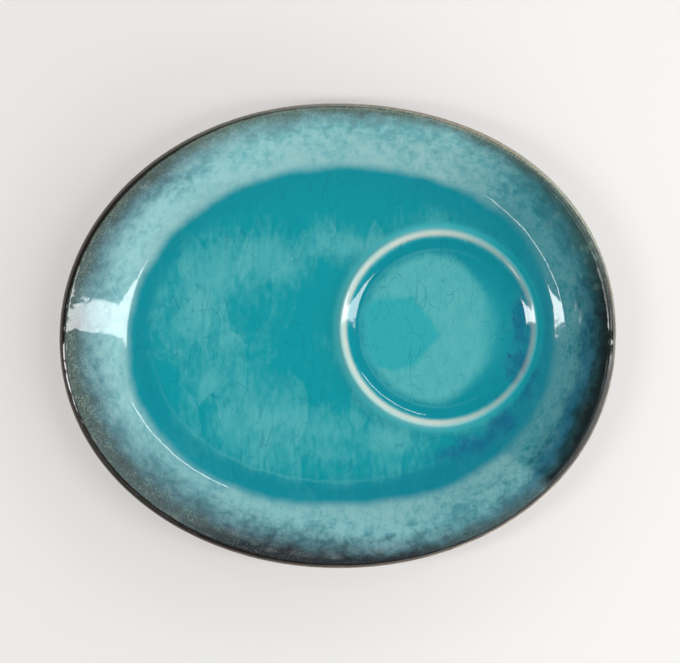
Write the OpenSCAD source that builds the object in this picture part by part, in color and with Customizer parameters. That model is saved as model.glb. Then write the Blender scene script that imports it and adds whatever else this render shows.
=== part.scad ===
// Oval serving dish in glazed stoneware, with a raised ring that keeps a cup or a bowl in its place.
// Lengths are in millimetres. The dish stands on z = 0, its length lies along X, and the ring is towards +X.
// The clay is a pressed body with a foot ring and a cup ring luted on. Each zone of glaze is a coat on the clay.

/* [Dish] */
// Length over the lip
dish_len = 280; // [264:2:300]
// Width over the lip
dish_wid = 234; // [222:2:252]
// Height from the table to the top of the lip
dish_h = 25; // [22:0.5:29]
// Fullness of the oval: 2 is a true ellipse, and more is squarer
oval_power = 2.06; // [2:0.02:2.2]

/* [Clay body] */
// Thickness of the clay under the well
floor_t = 5.5; // [4.5:0.25:7]
// Thickness of the clay at the lip
lip_t = 4.8; // [3.8:0.1:5.6]
// Width of the rim seen from above, from the lip to the corner of the well
rim_w = 30; // [27:0.5:33]
// Reach of the curve between the rim and the well, to each side of the corner
cove_reach = 6.5; // [5:0.25:8]
// How far the middle of the rim sags below a straight slope
rim_sag = 0.1; // [0:0.1:1]
// How far the corner under the rim lies outside the corner of the well
heel_step = 2; // [1:0.25:4]
// Reach of the curve between the underside of the rim and the base
heel_reach = 5; // [3:0.25:6]

/* [Foot ring] */
// Height of the foot ring
foot_h = 3; // [2:0.25:4]
// Width of the foot ring
foot_w = 6; // [4:0.5:9]
// Distance from the corner under the rim to the outside of the foot ring
foot_set = 15; // [12:0.5:18]

/* [Cup ring] */
// Diameter of the flat floor inside the cup ring
cup_floor_d = 80; // [72:1:84]
// Width of the ring's inner flank, which sweeps up from the floor to the crest like the side of a bowl
inner_flank_w = 9.6; // [8:0.2:10.4]
// Width of the ring's outer flank, from the crest down to the well
outer_flank_w = 2.2; // [1.8:0.1:3]
// Height of the clay crest above the clay of the well
crest_h = 3.2; // [2.4:0.05:3.8]
// How sharply the inner flank turns over at the crest
crest_turn = 12; // [8:1:16]
// How far the ring's centre lies to the side of the dish's long axis
ring_side = 3.7; // [0:0.1:6]
// Flat floor that is left between the ring and the cove at the end of the dish
ring_gap = 0.3; // [0.2:0.1:2]

/* [Glaze] */
// Depth of the glaze that pools in the well
pool_t = 1; // [0.6:0.1:1.6]
// Thickness of the glaze over the crest of the cup ring
crest_coat = 0.35; // [0.2:0.05:0.6]
// Thickness of the glaze at the lip
lip_coat = 0.5; // [0.3:0.05:0.8]
// Thickness of the glaze under the dish
under_coat = 0.4; // [0.2:0.05:0.8]

/* [Hand forming] */
// How far the outline wanders from a true oval
hand_wobble = 1; // [0:0.1:1.5]
// How far the lip dips at its lowest place
lip_dip = 0.8; // [0:0.1:1.5]

/* [Hidden] */
$fn = 96;

// Steps round the dish, and along each stretch of the section
round_steps = 120;
cove_steps = 6;
rim_steps = 3;
// Steps of the cove that the pool of glaze climbs, before the rim's glaze begins
climb_steps = 2;
lip_steps = 8;
heel_steps = 3;
flank_steps = 8;

// The outline's wander and the lip's dip: waves round the dish, share of the size, and the angle of a peak
wobble_shares = [[2, 0.37, 86], [3, 0.28, 188], [4, 0.27, 94], [5, 0.25, 199]];
dip_shares = [[2, 0.3, 35], [3, 0.2, 250]];
dip_mean_share = 0.5;

// Heights of the layers, and insets measured in from the lip
clay_floor_z = foot_h + floor_t;
pool_z = clay_floor_z + pool_t;
glaze_base_z = foot_h - under_coat;
floor_in = rim_w + cove_reach;
heel_in = rim_w - heel_step;
base_in = heel_in + heel_reach;
foot_in = heel_in + foot_set;
recess_in = foot_in + foot_w;
lip_r = lip_t / 2;
lip_centre = [lip_coat + lip_r, dish_h - lip_coat - lip_r];

// Radii of the cup ring, and its centre: as far towards the end of the dish as the floor of the well lets it
cup_floor_r = cup_floor_d / 2;
crest_r = cup_floor_r + inner_flank_w;
ring_r = crest_r + outer_flank_w;
ring_reach = ring_r + ring_gap;
ring_x = min([for (p = oval(floor_in)) if (p[0] > 0 && abs(p[1] - ring_side) < ring_reach)
    p[0] - sqrt(pow(ring_reach, 2) - pow(p[1] - ring_side, 2))]);
ring_centre = [ring_x, ring_side];

// The oval outline: a point of it at an angle, and the direction square to it there
function oval_point(angle) =
    pow(pow(abs(cos(angle)) * 2 / dish_len, oval_power) + pow(abs(sin(angle)) * 2 / dish_wid, oval_power),
        -1 / oval_power) * [cos(angle), sin(angle)];
function steepness(part, size) = sign(part) * pow(abs(part) * 2 / size, oval_power - 1) / size;
function oval_normal(angle) =
    let (fall = [steepness(cos(angle), dish_len), steepness(sin(angle), dish_wid)]) fall / norm(fall);
function angles() = [for (k = [0 : round_steps - 1]) 360 * k / round_steps];

// What the maker's hands leave: it is full at the lip and fades to nothing where the floor or the base is flat
function waves(angle, shares) = let (parts = [for (s = shares) s[1] * cos(s[0] * angle - s[2])])
    parts * [for (p = parts) 1];
function wander(angle) = hand_wobble * waves(angle, wobble_shares) * oval_normal(angle);
function dip(angle) = lip_dip * (dip_mean_share + waves(angle, dip_shares));
function fade(inset) = let (s = max(0, 1 - inset / min(floor_in, base_in))) s * s * (3 - 2 * s);
lip_outline = [for (a = angles()) oval_point(a) + wander(a)];
lip_shift = [for (axis = [0, 1]) let (v = [for (p = lip_outline) p[axis]]) (min(v) + max(v)) / 2];

// An oval inside the outline, and a point on the dish at an angle, an inset from the lip and a height
function oval(inset) = [for (a = angles()) oval_point(a) - inset * oval_normal(a)];
function dish_point(angle, station) =
    let (inset = station[0], soft = fade(inset),
         flat = oval_point(angle) - inset * oval_normal(angle) + soft * (wander(angle) - lip_shift))
    [flat[0], flat[1], station[1] - soft * dip(angle)];

// The section of the dish, as stations of [inset, height], from the floor of the well round the lip to the base.
// Its slopes touch a circle of the given radius at the lip, on the upper side (1) or the lower side (-1).
function slope_angle(corner, radius, side) =
    let (run = corner - lip_centre) atan2(-run[1], run[0]) + side * asin(radius / norm(run));
function bend(corner, reach, angle, steps) =
    let (r = reach / tan(angle / 2))
    [for (i = [0 : steps]) let (a = angle * i / steps) corner + [reach - r * sin(a), r * (1 - cos(a))]];
function lip_arc(radius, upper, lower) =
    [for (i = [0 : lip_steps]) let (a = 90 - upper + (180 + upper - lower) * i / lip_steps)
        lip_centre + radius * [cos(a), sin(a)]];
function sagging(from, to) =
    [for (i = [1 : rim_steps - 1]) let (u = i / rim_steps)
        from + u * (to - from) - [0, rim_sag * (1 - cos(360 * u)) / 2]];
function reversed(list) = [for (i = [len(list) - 1 : -1 : 0]) list[i]];
function last(list) = list[len(list) - 1];
function section(radius, floor_z, base_z) =
    let (upper = slope_angle([rim_w, floor_z], radius, 1),
         lower = slope_angle([heel_in, base_z], radius, -1),
         cove = bend([rim_w, floor_z], cove_reach, upper, cove_steps),
         lip = lip_arc(radius, upper, lower),
         heel = reversed(bend([heel_in, base_z], heel_reach, lower, heel_steps)))
    concat(cove, sagging(last(cove), lip[0]), lip, sagging(last(lip), heel[0]), heel);
function slice(list, from, to) = [for (i = [from : to]) list[i]];

clay_section = section(lip_r, clay_floor_z, foot_h);
glaze_section = section(lip_r + lip_coat, pool_z, glaze_base_z);
pool_edge = climb_steps;
lip_start = cove_steps + rim_steps;
lip_end = lip_start + lip_steps;
section_end = len(clay_section) - 1;

// Triangles between two neighbouring stations all round the dish. Their diagonals depend on the stations alone, so
// that a coat and the clay under it meet exactly.
function inner_first(a, b) = a[0] > b[0] || (a[0] == b[0] && a[1] > b[1]);
function band(stations, s, next) =
    [for (k = [0 : round_steps - 1])
        let (m = len(stations), here = k * m, there = ((k + 1) % round_steps) * m,
             a = here + s, b = here + next, c = there + next, d = there + s)
        each inner_first(stations[s], stations[next]) ? [[a, d, c], [a, c, b]] : [[a, d, b], [b, d, c]]];
function dish_points(stations) = [for (a = angles()) for (p = stations) dish_point(a, p)];

// A ring all round the dish, whose closed section is the given stations
module dish_ring(stations) {
    m = len(stations);
    polyhedron(dish_points(stations), [for (s = [0 : m - 1]) each band(stations, s, (s + 1) % m)]);
}

// A solid whose outside is the given stations, with a flat top at the first and a flat base at the last
module dish_solid(stations) {
    m = len(stations);
    top = [for (k = [round_steps - 1 : -1 : 0]) k * m];
    base = [for (k = [0 : round_steps - 1]) k * m + m - 1];
    polyhedron(dish_points(stations), concat([for (s = [0 : m - 2]) each band(stations, s, s + 1)], [top, base]));
}

// The coat of glaze on the clay between two places of the section
module coat(from, to) {
    dish_ring(concat(slice(glaze_section, from, to), reversed(slice(clay_section, from, to))));
}

// The cup ring's section, from its inner edge over the crest to its outer edge, rising from low to high. The share
// that a flank has risen depends on how far it has come from its foot: inside like a bowl, outside in one wave.
function inner_rise(share) = share * share * (crest_turn + 2 - 2 * pow(share, crest_turn)) / crest_turn;
function outer_rise(share) = (1 - cos(180 * share)) / 2;
function ring_section(low, high) =
    [for (i = [-flank_steps : flank_steps]) let (u = i / flank_steps)
        [crest_r + u * (u < 0 ? inner_flank_w : outer_flank_w),
         low + (high - low) * (u < 0 ? inner_rise(1 + u) : outer_rise(1 - u))]];

module on_ring_centre(z) {
    translate([ring_centre[0], ring_centre[1], z]) children();
}

// The pressed plate of clay: floor, cove, rim and lip in one
module stoneware_body() {
    color("tan") dish_solid(clay_section);
}

// The bare clay ring that the dish stands on
module foot_ring() {
    color("peru") linear_extrude(foot_h) difference() {
        polygon(oval(foot_in));
        polygon(oval(recess_in));
    }
}

// The ridge of clay that keeps a cup in its place
module cup_ring() {
    color("tan") on_ring_centre(clay_floor_z) rotate_extrude() polygon(ring_section(0, crest_h));
}

// The pool of turquoise glaze in the well and a little way up its cove
module well_glaze() {
    color("darkcyan") {
        coat(0, pool_edge);
        translate([0, 0, clay_floor_z]) linear_extrude(pool_t) difference() {
            polygon(oval(floor_in));
            translate(ring_centre) circle(ring_r);
        }
    }
}

// The pool of glaze inside the cup ring, which a cup stands on
module cup_well_glaze() {
    color("mediumturquoise") on_ring_centre(clay_floor_z) cylinder(h = pool_t, r = cup_floor_r);
}

// The glaze over the cup ring, thin and milky on its crest
module cup_ring_glaze() {
    color("paleturquoise") on_ring_centre(clay_floor_z) rotate_extrude()
        polygon(concat(ring_section(pool_t, crest_h + crest_coat), reversed(ring_section(0, crest_h))));
}

// The mottled glaze on the rim, pale at the well and dark towards the lip
module rim_glaze() {
    color("cadetblue") coat(pool_edge, lip_start);
}

// The brown glaze over the lip, where it is thin and the clay shows through
module lip_glaze() {
    color("darkolivegreen") coat(lip_start, lip_end);
}

// The dark glaze under the rim, down to the foot ring
module underside_glaze() {
    color("darkslategray") dish_ring(concat(
        slice(glaze_section, lip_end, section_end), [[foot_in, glaze_base_z], [foot_in, foot_h]],
        reversed(slice(clay_section, lip_end, section_end))));
}

// The dark glaze on the base, inside the foot ring
module recess_glaze() {
    color("darkslategray") translate([0, 0, glaze_base_z]) linear_extrude(under_coat) polygon(oval(recess_in));
}

stoneware_body();
foot_ring();
cup_ring();
well_glaze();
cup_well_glaze();
cup_ring_glaze();
rim_glaze();
lip_glaze();
underside_glaze();
recess_glaze();
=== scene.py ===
"""The looks of an oval glazed serving dish: its coats of glaze, its bare clay foot and its table.

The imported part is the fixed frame, and every size that it holds is read from it. Each coat is wrapped round
the dish by one Geometry Nodes tree, from a flat strip of stations along the dish's section. Neighbouring
coats share the stations at their edge and take their shading normals from one unbroken surface, so that no
seam shows between them.
"""

import logging
import math
from dataclasses import dataclass, replace
from enum import Enum
from functools import reduce
from operator import add, attrgetter
from typing import Callable, Iterable, Optional, Sequence, Union

import bpy
import numpy as np
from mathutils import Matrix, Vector


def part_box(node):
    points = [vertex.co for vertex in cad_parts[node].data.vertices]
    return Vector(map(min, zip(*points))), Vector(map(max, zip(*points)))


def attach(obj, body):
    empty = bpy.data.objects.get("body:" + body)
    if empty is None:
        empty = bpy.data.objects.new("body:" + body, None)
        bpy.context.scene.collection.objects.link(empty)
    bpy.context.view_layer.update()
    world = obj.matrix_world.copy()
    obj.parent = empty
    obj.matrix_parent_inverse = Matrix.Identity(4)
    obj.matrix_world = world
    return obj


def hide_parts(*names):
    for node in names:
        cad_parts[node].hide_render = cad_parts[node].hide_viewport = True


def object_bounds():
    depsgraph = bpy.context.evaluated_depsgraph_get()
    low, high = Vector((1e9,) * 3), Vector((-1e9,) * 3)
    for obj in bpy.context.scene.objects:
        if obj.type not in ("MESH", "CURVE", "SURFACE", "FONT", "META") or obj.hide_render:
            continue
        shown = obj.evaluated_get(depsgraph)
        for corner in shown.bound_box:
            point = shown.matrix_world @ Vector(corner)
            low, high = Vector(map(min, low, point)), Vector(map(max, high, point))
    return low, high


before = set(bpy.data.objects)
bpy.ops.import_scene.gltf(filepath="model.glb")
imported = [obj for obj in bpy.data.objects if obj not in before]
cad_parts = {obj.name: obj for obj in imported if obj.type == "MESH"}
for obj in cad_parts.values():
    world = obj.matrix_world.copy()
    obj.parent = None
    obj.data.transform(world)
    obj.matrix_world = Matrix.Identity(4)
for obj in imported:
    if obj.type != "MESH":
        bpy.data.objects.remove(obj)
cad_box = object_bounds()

ROOT_BODY = "root"
MM = 0.001
CUBIC_CM = 1e-6
TURN = 2 * math.pi
NEARLY_ONE = 0.99

log = logging.getLogger("serving_dish")


# Node graphs

@dataclass(frozen=True)
class Tone:
    """A colour as a screen shows it, with each part from 0 to 255."""

    red: float
    green: float
    blue: float

    def linear(self) -> tuple[float, float, float]:
        """The same colour in the linear numbers that a shader takes."""
        shares = [part / 255 for part in (self.red, self.green, self.blue)]
        return tuple(s / 12.92 if s <= 0.04045 else ((s + 0.055) / 1.055) ** 2.4 for s in shares)


Operand = Union["Flow", Tone, float, tuple]


class Flow:
    """A number, vector or colour that flows through a node graph; arithmetic on it adds nodes."""

    def __init__(self, graph: "Graph", socket: bpy.types.NodeSocket) -> None:
        """Wraps one output socket of a node in a graph."""
        self.graph = graph
        self.socket = socket

    def _combine(self, operation: str, *operands: Operand) -> "Flow":
        """Adds a Math node, or a Vector Math node where any operand is a vector.

        Args:
            operation: The node's operation.
            operands: Flows, numbers or tuples, in the order of the node's sockets.

        Returns:
            The flow of the node's result.
        """
        on_vectors = any(
            o.socket.type in ("VECTOR", "RGBA") if isinstance(o, Flow) else isinstance(o, (tuple, Tone))
            for o in operands
        )
        kind = "ShaderNodeVectorMath" if on_vectors else "ShaderNodeMath"
        return self.graph.flow(kind, {"operation": operation}, dict(enumerate(operands)))

    def __add__(self, other: Operand) -> "Flow":
        """Sum."""
        return self._combine("ADD", self, other)

    def __radd__(self, other: Operand) -> "Flow":
        """Sum, reflected."""
        return self._combine("ADD", other, self)

    def __sub__(self, other: Operand) -> "Flow":
        """Difference."""
        return self._combine("SUBTRACT", self, other)

    def __rsub__(self, other: Operand) -> "Flow":
        """Difference, reflected."""
        return self._combine("SUBTRACT", other, self)

    def __mul__(self, other: Operand) -> "Flow":
        """Product; a number times a vector scales it."""
        return self._combine("MULTIPLY", self, other)

    def __rmul__(self, other: Operand) -> "Flow":
        """Product, reflected."""
        return self._combine("MULTIPLY", other, self)

    def __truediv__(self, other: Operand) -> "Flow":
        """Quotient."""
        return self._combine("DIVIDE", self, other)

    def __rtruediv__(self, other: Operand) -> "Flow":
        """Quotient, reflected."""
        return self._combine("DIVIDE", other, self)

    def __pow__(self, other: Operand) -> "Flow":
        """Power."""
        return self._combine("POWER", self, other)

    def function(self, operation: str, *others: Operand) -> "Flow":
        """A function of this flow by its Math operation, such as SINE, MAXIMUM or ARCTAN2."""
        return self._combine(operation, self, *others)

    def unit(self) -> "Flow":
        """This vector at a length of one."""
        return self._combine("NORMALIZE", self)

    def length(self) -> "Flow":
        """The length of this vector."""
        return self.graph.flow("ShaderNodeVectorMath", {"operation": "LENGTH"}, {0: self}, "Value")

    def dot(self, other: Operand) -> "Flow":
        """The dot product with another vector."""
        sockets = {0: self, 1: other}
        return self.graph.flow("ShaderNodeVectorMath", {"operation": "DOT_PRODUCT"}, sockets, "Value")


def total(flows: Iterable[Operand]) -> Operand:
    """The sum of some flows."""
    return reduce(add, flows)


class Graph:
    """A node tree of a material or of Geometry Nodes, and the one way in which nodes are added to it."""

    def __init__(self, tree: bpy.types.NodeTree) -> None:
        """Wraps a node tree, which is emptied."""
        self.tree = tree
        tree.nodes.clear()

    def node(self, kind: str, settings: dict, sockets: dict) -> bpy.types.Node:
        """Adds a node, with its settings made before its sockets are filled.

        Args:
            kind: The node's type.
            settings: Values of the node's properties. "stops" fills a Color Ramp with (place, colour) pairs.
            sockets: Values or flows by the socket's identifier, name or index.

        Returns:
            The new node.
        """
        node = self.tree.nodes.new(kind)
        for name, value in settings.items():
            if name == "stops":
                self._fill_ramp(node.color_ramp, value)
            else:
                setattr(node, name, value)
        identifiers = [s.identifier for s in node.inputs]
        for key, value in sockets.items():
            socket = node.inputs[identifiers.index(key) if key in identifiers else key]
            if isinstance(value, Flow):
                self.tree.links.new(value.socket, socket)
                continue
            if isinstance(value, Tone):
                value = value.linear()
            if socket.type == "VECTOR" and isinstance(value, (int, float)):
                value = (value,) * 3
            if socket.type == "RGBA":
                value = (*value[:3], 1.0)
            socket.default_value = value
        return node

    @staticmethod
    def _fill_ramp(ramp: bpy.types.ColorRamp, stops: Sequence[tuple]) -> None:
        """Fills a colour ramp.

        Args:
            ramp: A new node's ramp.
            stops: Its (place, colour) pairs, in order.
        """
        while len(ramp.elements) < len(stops):
            ramp.elements.new(1.0)
        for element, (place, colour) in zip(ramp.elements, stops):
            element.position = place
            element.color = (*(colour.linear() if isinstance(colour, Tone) else colour), 1.0)

    def flow(self, kind: str, settings: dict, sockets: dict, output: Union[str, int] = 0) -> Flow:
        """Adds a node and takes one of its outputs.

        Args:
            kind: The node's type.
            settings: Values of the node's properties.
            sockets: Values or flows by socket.
            output: The output's name, identifier or index.

        Returns:
            The flow of that output.
        """
        node = self.node(kind, settings, sockets)
        identifiers = [s.identifier for s in node.outputs]
        return Flow(self, node.outputs[identifiers.index(output) if output in identifiers else output])

    def attribute(self, name: str) -> Flow:
        """A number that the mesh carries at each of its points.

        Args:
            name: The attribute's name.

        Returns:
            The number's flow.
        """
        if self.tree.type == "GEOMETRY":
            return self.flow("GeometryNodeInputNamedAttribute", {"data_type": "FLOAT"}, {"Name": name})
        return self.flow("ShaderNodeAttribute", {"attribute_name": name}, {}, "Fac")

    def vector(self, x: Operand, y: Operand, z: Operand = 0.0) -> Flow:
        """A vector from its parts."""
        return self.flow("ShaderNodeCombineXYZ", {}, {"X": x, "Y": y, "Z": z})

    def parts(self, vector: Flow) -> tuple[Flow, Flow, Flow]:
        """The three parts of a vector."""
        node = self.node("ShaderNodeSeparateXYZ", {}, {0: vector})
        return tuple(Flow(self, output) for output in node.outputs)

    def ramp(self, value: Operand, low: Operand, high: Operand) -> Flow:
        """A smooth step of value, from 0 at low to 1 at high; low may be the larger."""
        return self.flow("ShaderNodeMapRange", {"interpolation_type": "SMOOTHSTEP"},
                         {"Value": value, "From Min": low, "From Max": high})

    def noise(self, vector: Flow, size: float, detail: float = 2.0, roughness: float = 0.5,
              distortion: float = 0.0, shift: float = 0.0) -> Flow:
        """Smooth noise from 0 to 1.

        Args:
            vector: Where it is read.
            size: The size of its blobs, in the vector's units.
            detail: Octaves of finer noise.
            roughness: How strong the finer octaves are.
            distortion: How far it is stirred.
            shift: A place along a fourth axis, which gives each use a pattern of its own.

        Returns:
            The noise's flow.
        """
        return self.flow("ShaderNodeTexNoise", {"noise_dimensions": "4D"},
                         {"Vector": vector, "W": shift, "Scale": 1 / size, "Detail": detail,
                          "Roughness": roughness, "Distortion": distortion}, "Fac")

    def _voronoi(self, feature: str, vector: Flow, size: float, output: str) -> Flow:
        """One output of a Voronoi Texture, read at a place, with cells of the given size."""
        sockets = {"Vector": vector, "Scale": 1 / size}
        return self.flow("ShaderNodeTexVoronoi", {"feature": feature}, sockets, output)

    def cracks(self, vector: Flow, size: float, half_width: float) -> Flow:
        """A net of fine cracks, 1 along each line and 0 away from it.

        Args:
            vector: Where it is read.
            size: The size of the cells between cracks, in the vector's units.
            half_width: Half of a line's width, as a share of a cell.

        Returns:
            The flow of the net.
        """
        return self.ramp(self._voronoi("DISTANCE_TO_EDGE", vector, size, "Distance"), half_width, 0.0)

    def cells(self, vector: Flow, size: float) -> Flow:
        """A random number from 0 to 1 for each cell of the given size, the same all over the cell."""
        return self.parts(self._voronoi("F1", vector, size, "Color"))[0]

    def dots(self, vector: Flow, size: float, radius: float) -> Flow:
        """Soft round dots, one in each cell of the given size, with their radius as a share of a cell."""
        return self.ramp(self._voronoi("F1", vector, size, "Distance"), radius, radius / 3)

    def blend(self, under: Operand, over: Operand, share: Operand) -> Flow:
        """Mixes two colours by a share from 0, all under, to 1, all over."""
        return self.flow("ShaderNodeMix", {"data_type": "RGBA"},
                         {"Factor_Float": share, "A_Color": under, "B_Color": over}, "Result_Color")

    def surface(self, colour: Operand, roughness: Operand, relief: Flow, refraction: float = 1.5) -> None:
        """Ends a material's graph with its shader.

        Args:
            colour: The surface's colour.
            roughness: How rough it is.
            relief: Its fine relief, in millimetres.
            refraction: Its index of refraction.
        """
        normal = self.flow("ShaderNodeBump", {}, {"Strength": 1.0, "Distance": MM, "Height": relief})
        looks = {"Base Color": colour, "Roughness": roughness, "IOR": refraction, "Normal": normal}
        shader = self.flow("ShaderNodeBsdfPrincipled", {}, looks)
        self.node("ShaderNodeOutputMaterial", {}, {"Surface": shader})


# The dish's shape

@dataclass(frozen=True)
class Station:
    """One place along the dish's section, which becomes a line all round the dish.

    Its inset counts inward from the outline. Toward says how far it has moved from there on to a circle of
    its radius about the cup ring's middle. Ripple is its share of the glaze's ripple, depth its distance from
    the lip, and line its number on the glaze's outer face, or -1 behind it.
    """

    inset: float
    height: float
    toward: float = 0.0
    radius: float = 0.0
    ripple: float = 0.0
    depth: float = 0.0
    line: int = -1


def bend(corner: tuple[float, float], reach: float, angle: float, steps: int) -> list[tuple[float, float]]:
    """The curve that rounds the corner between a flat floor and a slope.

    Args:
        corner: Inset and height of the corner.
        reach: How far the curve reaches to each side of the corner.
        angle: The slope's angle, in radians.
        steps: The number of steps along the curve.

    Returns:
        Insets and heights, from the floor to the slope.
    """
    radius = reach / math.tan(angle / 2)
    turns = [angle * i / steps for i in range(steps + 1)]
    return [(corner[0] + reach - radius * math.sin(t), corner[1] + radius * (1 - math.cos(t))) for t in turns]


@dataclass(frozen=True)
class DishForm:
    """Sizes of the dish in metres, and the sections and outlines that follow from them."""

    length: float
    width: float
    height: float
    pool_z: float
    clay_floor_z: float
    crest_z: float
    clay_crest_z: float
    glaze_base_z: float
    foot_h: float
    foot_in: float
    recess_in: float
    lip_coat: float
    ring_x: float
    ring_y: float
    ring_r: float
    cup_floor_r: float
    oval_power: float = 2.06
    rim_w: float = 30 * MM
    cove_reach: float = 6.5 * MM
    climb_share: float = 1 / 3
    rim_sag: float = 0.1 * MM
    lip_t: float = 4.8 * MM
    heel_step: float = 2 * MM
    heel_reach: float = 5 * MM
    inner_flank_w: float = 9.6 * MM
    crest_turn: float = 12
    clearance: float = 0.06 * MM
    hand_wobble: float = 1 * MM
    lip_dip: float = 0.8 * MM
    wobble_shares: tuple = ((2, 0.37, 86), (3, 0.28, 188), (4, 0.27, 94), (5, 0.25, 199))
    dip_shares: tuple = ((2, 0.3, 35), (3, 0.2, 250))
    dip_mean_share: float = 0.5
    cove_steps: int = 24
    slope_steps: int = 22
    lip_steps: int = 22
    heel_steps: int = 8
    floor_steps: int = 44
    clay_floor_steps: int = 6
    flank_steps: int = 26
    disc_steps: int = 18
    recess_steps: int = 12
    rubbed_r: float = 0.9 * MM
    rubbed_steps: int = 6

    @classmethod
    def from_frame(cls) -> "DishForm":
        """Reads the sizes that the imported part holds.

        Returns:
            The form with those sizes.
        """
        low, high = cad_box
        ring_low, ring_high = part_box("cup_ring_glaze")
        seat_low, seat_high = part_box("cup_well_glaze")
        foot_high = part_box("foot_ring")[1]
        recess_low, recess_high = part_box("recess_glaze")
        return cls(
            length=high.x - low.x - 2 * cls.clearance,
            width=high.y - low.y - 2 * cls.clearance,
            height=high.z,
            pool_z=seat_high.z,
            clay_floor_z=seat_low.z,
            crest_z=ring_high.z,
            clay_crest_z=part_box("cup_ring")[1].z,
            glaze_base_z=recess_low.z,
            foot_h=foot_high.z,
            foot_in=high.x - foot_high.x,
            recess_in=high.x - recess_high.x,
            lip_coat=high.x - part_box("stoneware_body")[1].x,
            ring_x=(ring_low.x + ring_high.x) / 2,
            ring_y=(ring_low.y + ring_high.y) / 2,
            ring_r=(ring_high.x - ring_low.x) / 2,
            cup_floor_r=(seat_high.x - seat_low.x) / 2,
        )

    @property
    def floor_in(self) -> float:
        """Inset at which the floor of the well begins."""
        return self.rim_w + self.cove_reach

    @property
    def heel_in(self) -> float:
        """Inset of the corner under the rim."""
        return self.rim_w - self.heel_step

    @property
    def flat_in(self) -> float:
        """Inset from which both faces of the floor are flat."""
        return min(self.floor_in, self.heel_in + self.heel_reach)

    @property
    def lip_r(self) -> float:
        """Radius of the clay at the lip."""
        return self.lip_t / 2

    @property
    def lip_centre(self) -> tuple[float, float]:
        """Inset and height of the lip's middle."""
        return self.lip_r + self.lip_coat, self.height - self.lip_coat - self.lip_r

    @property
    def crest_r(self) -> float:
        """Radius of the cup ring's crest."""
        return self.cup_floor_r + self.inner_flank_w

    def slope_angle(self, corner: tuple[float, float], radius: float, side: int) -> float:
        """The angle of the slope from a corner to the lip.

        Args:
            corner: Inset and height of the corner.
            radius: Radius of the circle at the lip that the slope touches.
            side: 1 to touch its upper side, -1 to touch its lower side.

        Returns:
            The angle, in radians.
        """
        run, rise = corner[0] - self.lip_centre[0], self.lip_centre[1] - corner[1]
        return math.atan2(rise, run) + side * math.asin(radius / math.hypot(run, rise))

    def _sagging(self, start: tuple[float, float], end: tuple[float, float]) -> list[tuple[float, float]]:
        """The places between two ends of a slope, which sags a little in its middle.

        Args:
            start: Inset and height of its first end.
            end: Inset and height of its last end.

        Returns:
            Insets and heights.
        """
        places = []
        run, rise = end[0] - start[0], end[1] - start[1]
        for i in range(1, self.slope_steps):
            share = i / self.slope_steps
            sag = self.rim_sag * (1 - math.cos(TURN * share)) / 2
            places.append((start[0] + share * run, start[1] + share * rise - sag))
        return places

    def section(self, radius: float, floor_z: float, base_z: float) -> list[tuple[float, float]]:
        """The dish's section from the floor of the well, round the lip, to the base.

        Args:
            radius: Radius of the lip.
            floor_z: Height of the well's floor.
            base_z: Height of the base.

        Returns:
            Insets and heights.
        """
        upper = self.slope_angle((self.rim_w, floor_z), radius, 1)
        lower = self.slope_angle((self.heel_in, base_z), radius, -1)
        cove = bend((self.rim_w, floor_z), self.cove_reach, upper, self.cove_steps)
        first, sweep = math.pi / 2 - upper, math.pi + upper - lower
        turns = [first + sweep * i / self.lip_steps for i in range(self.lip_steps + 1)]
        middle = self.lip_centre
        lip = [(middle[0] + radius * math.cos(t), middle[1] + radius * math.sin(t)) for t in turns]
        heel = bend((self.heel_in, base_z), self.heel_reach, lower, self.heel_steps)[::-1]
        return cove + self._sagging(cove[-1], lip[0]) + lip + self._sagging(lip[-1], heel[0]) + heel


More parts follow.
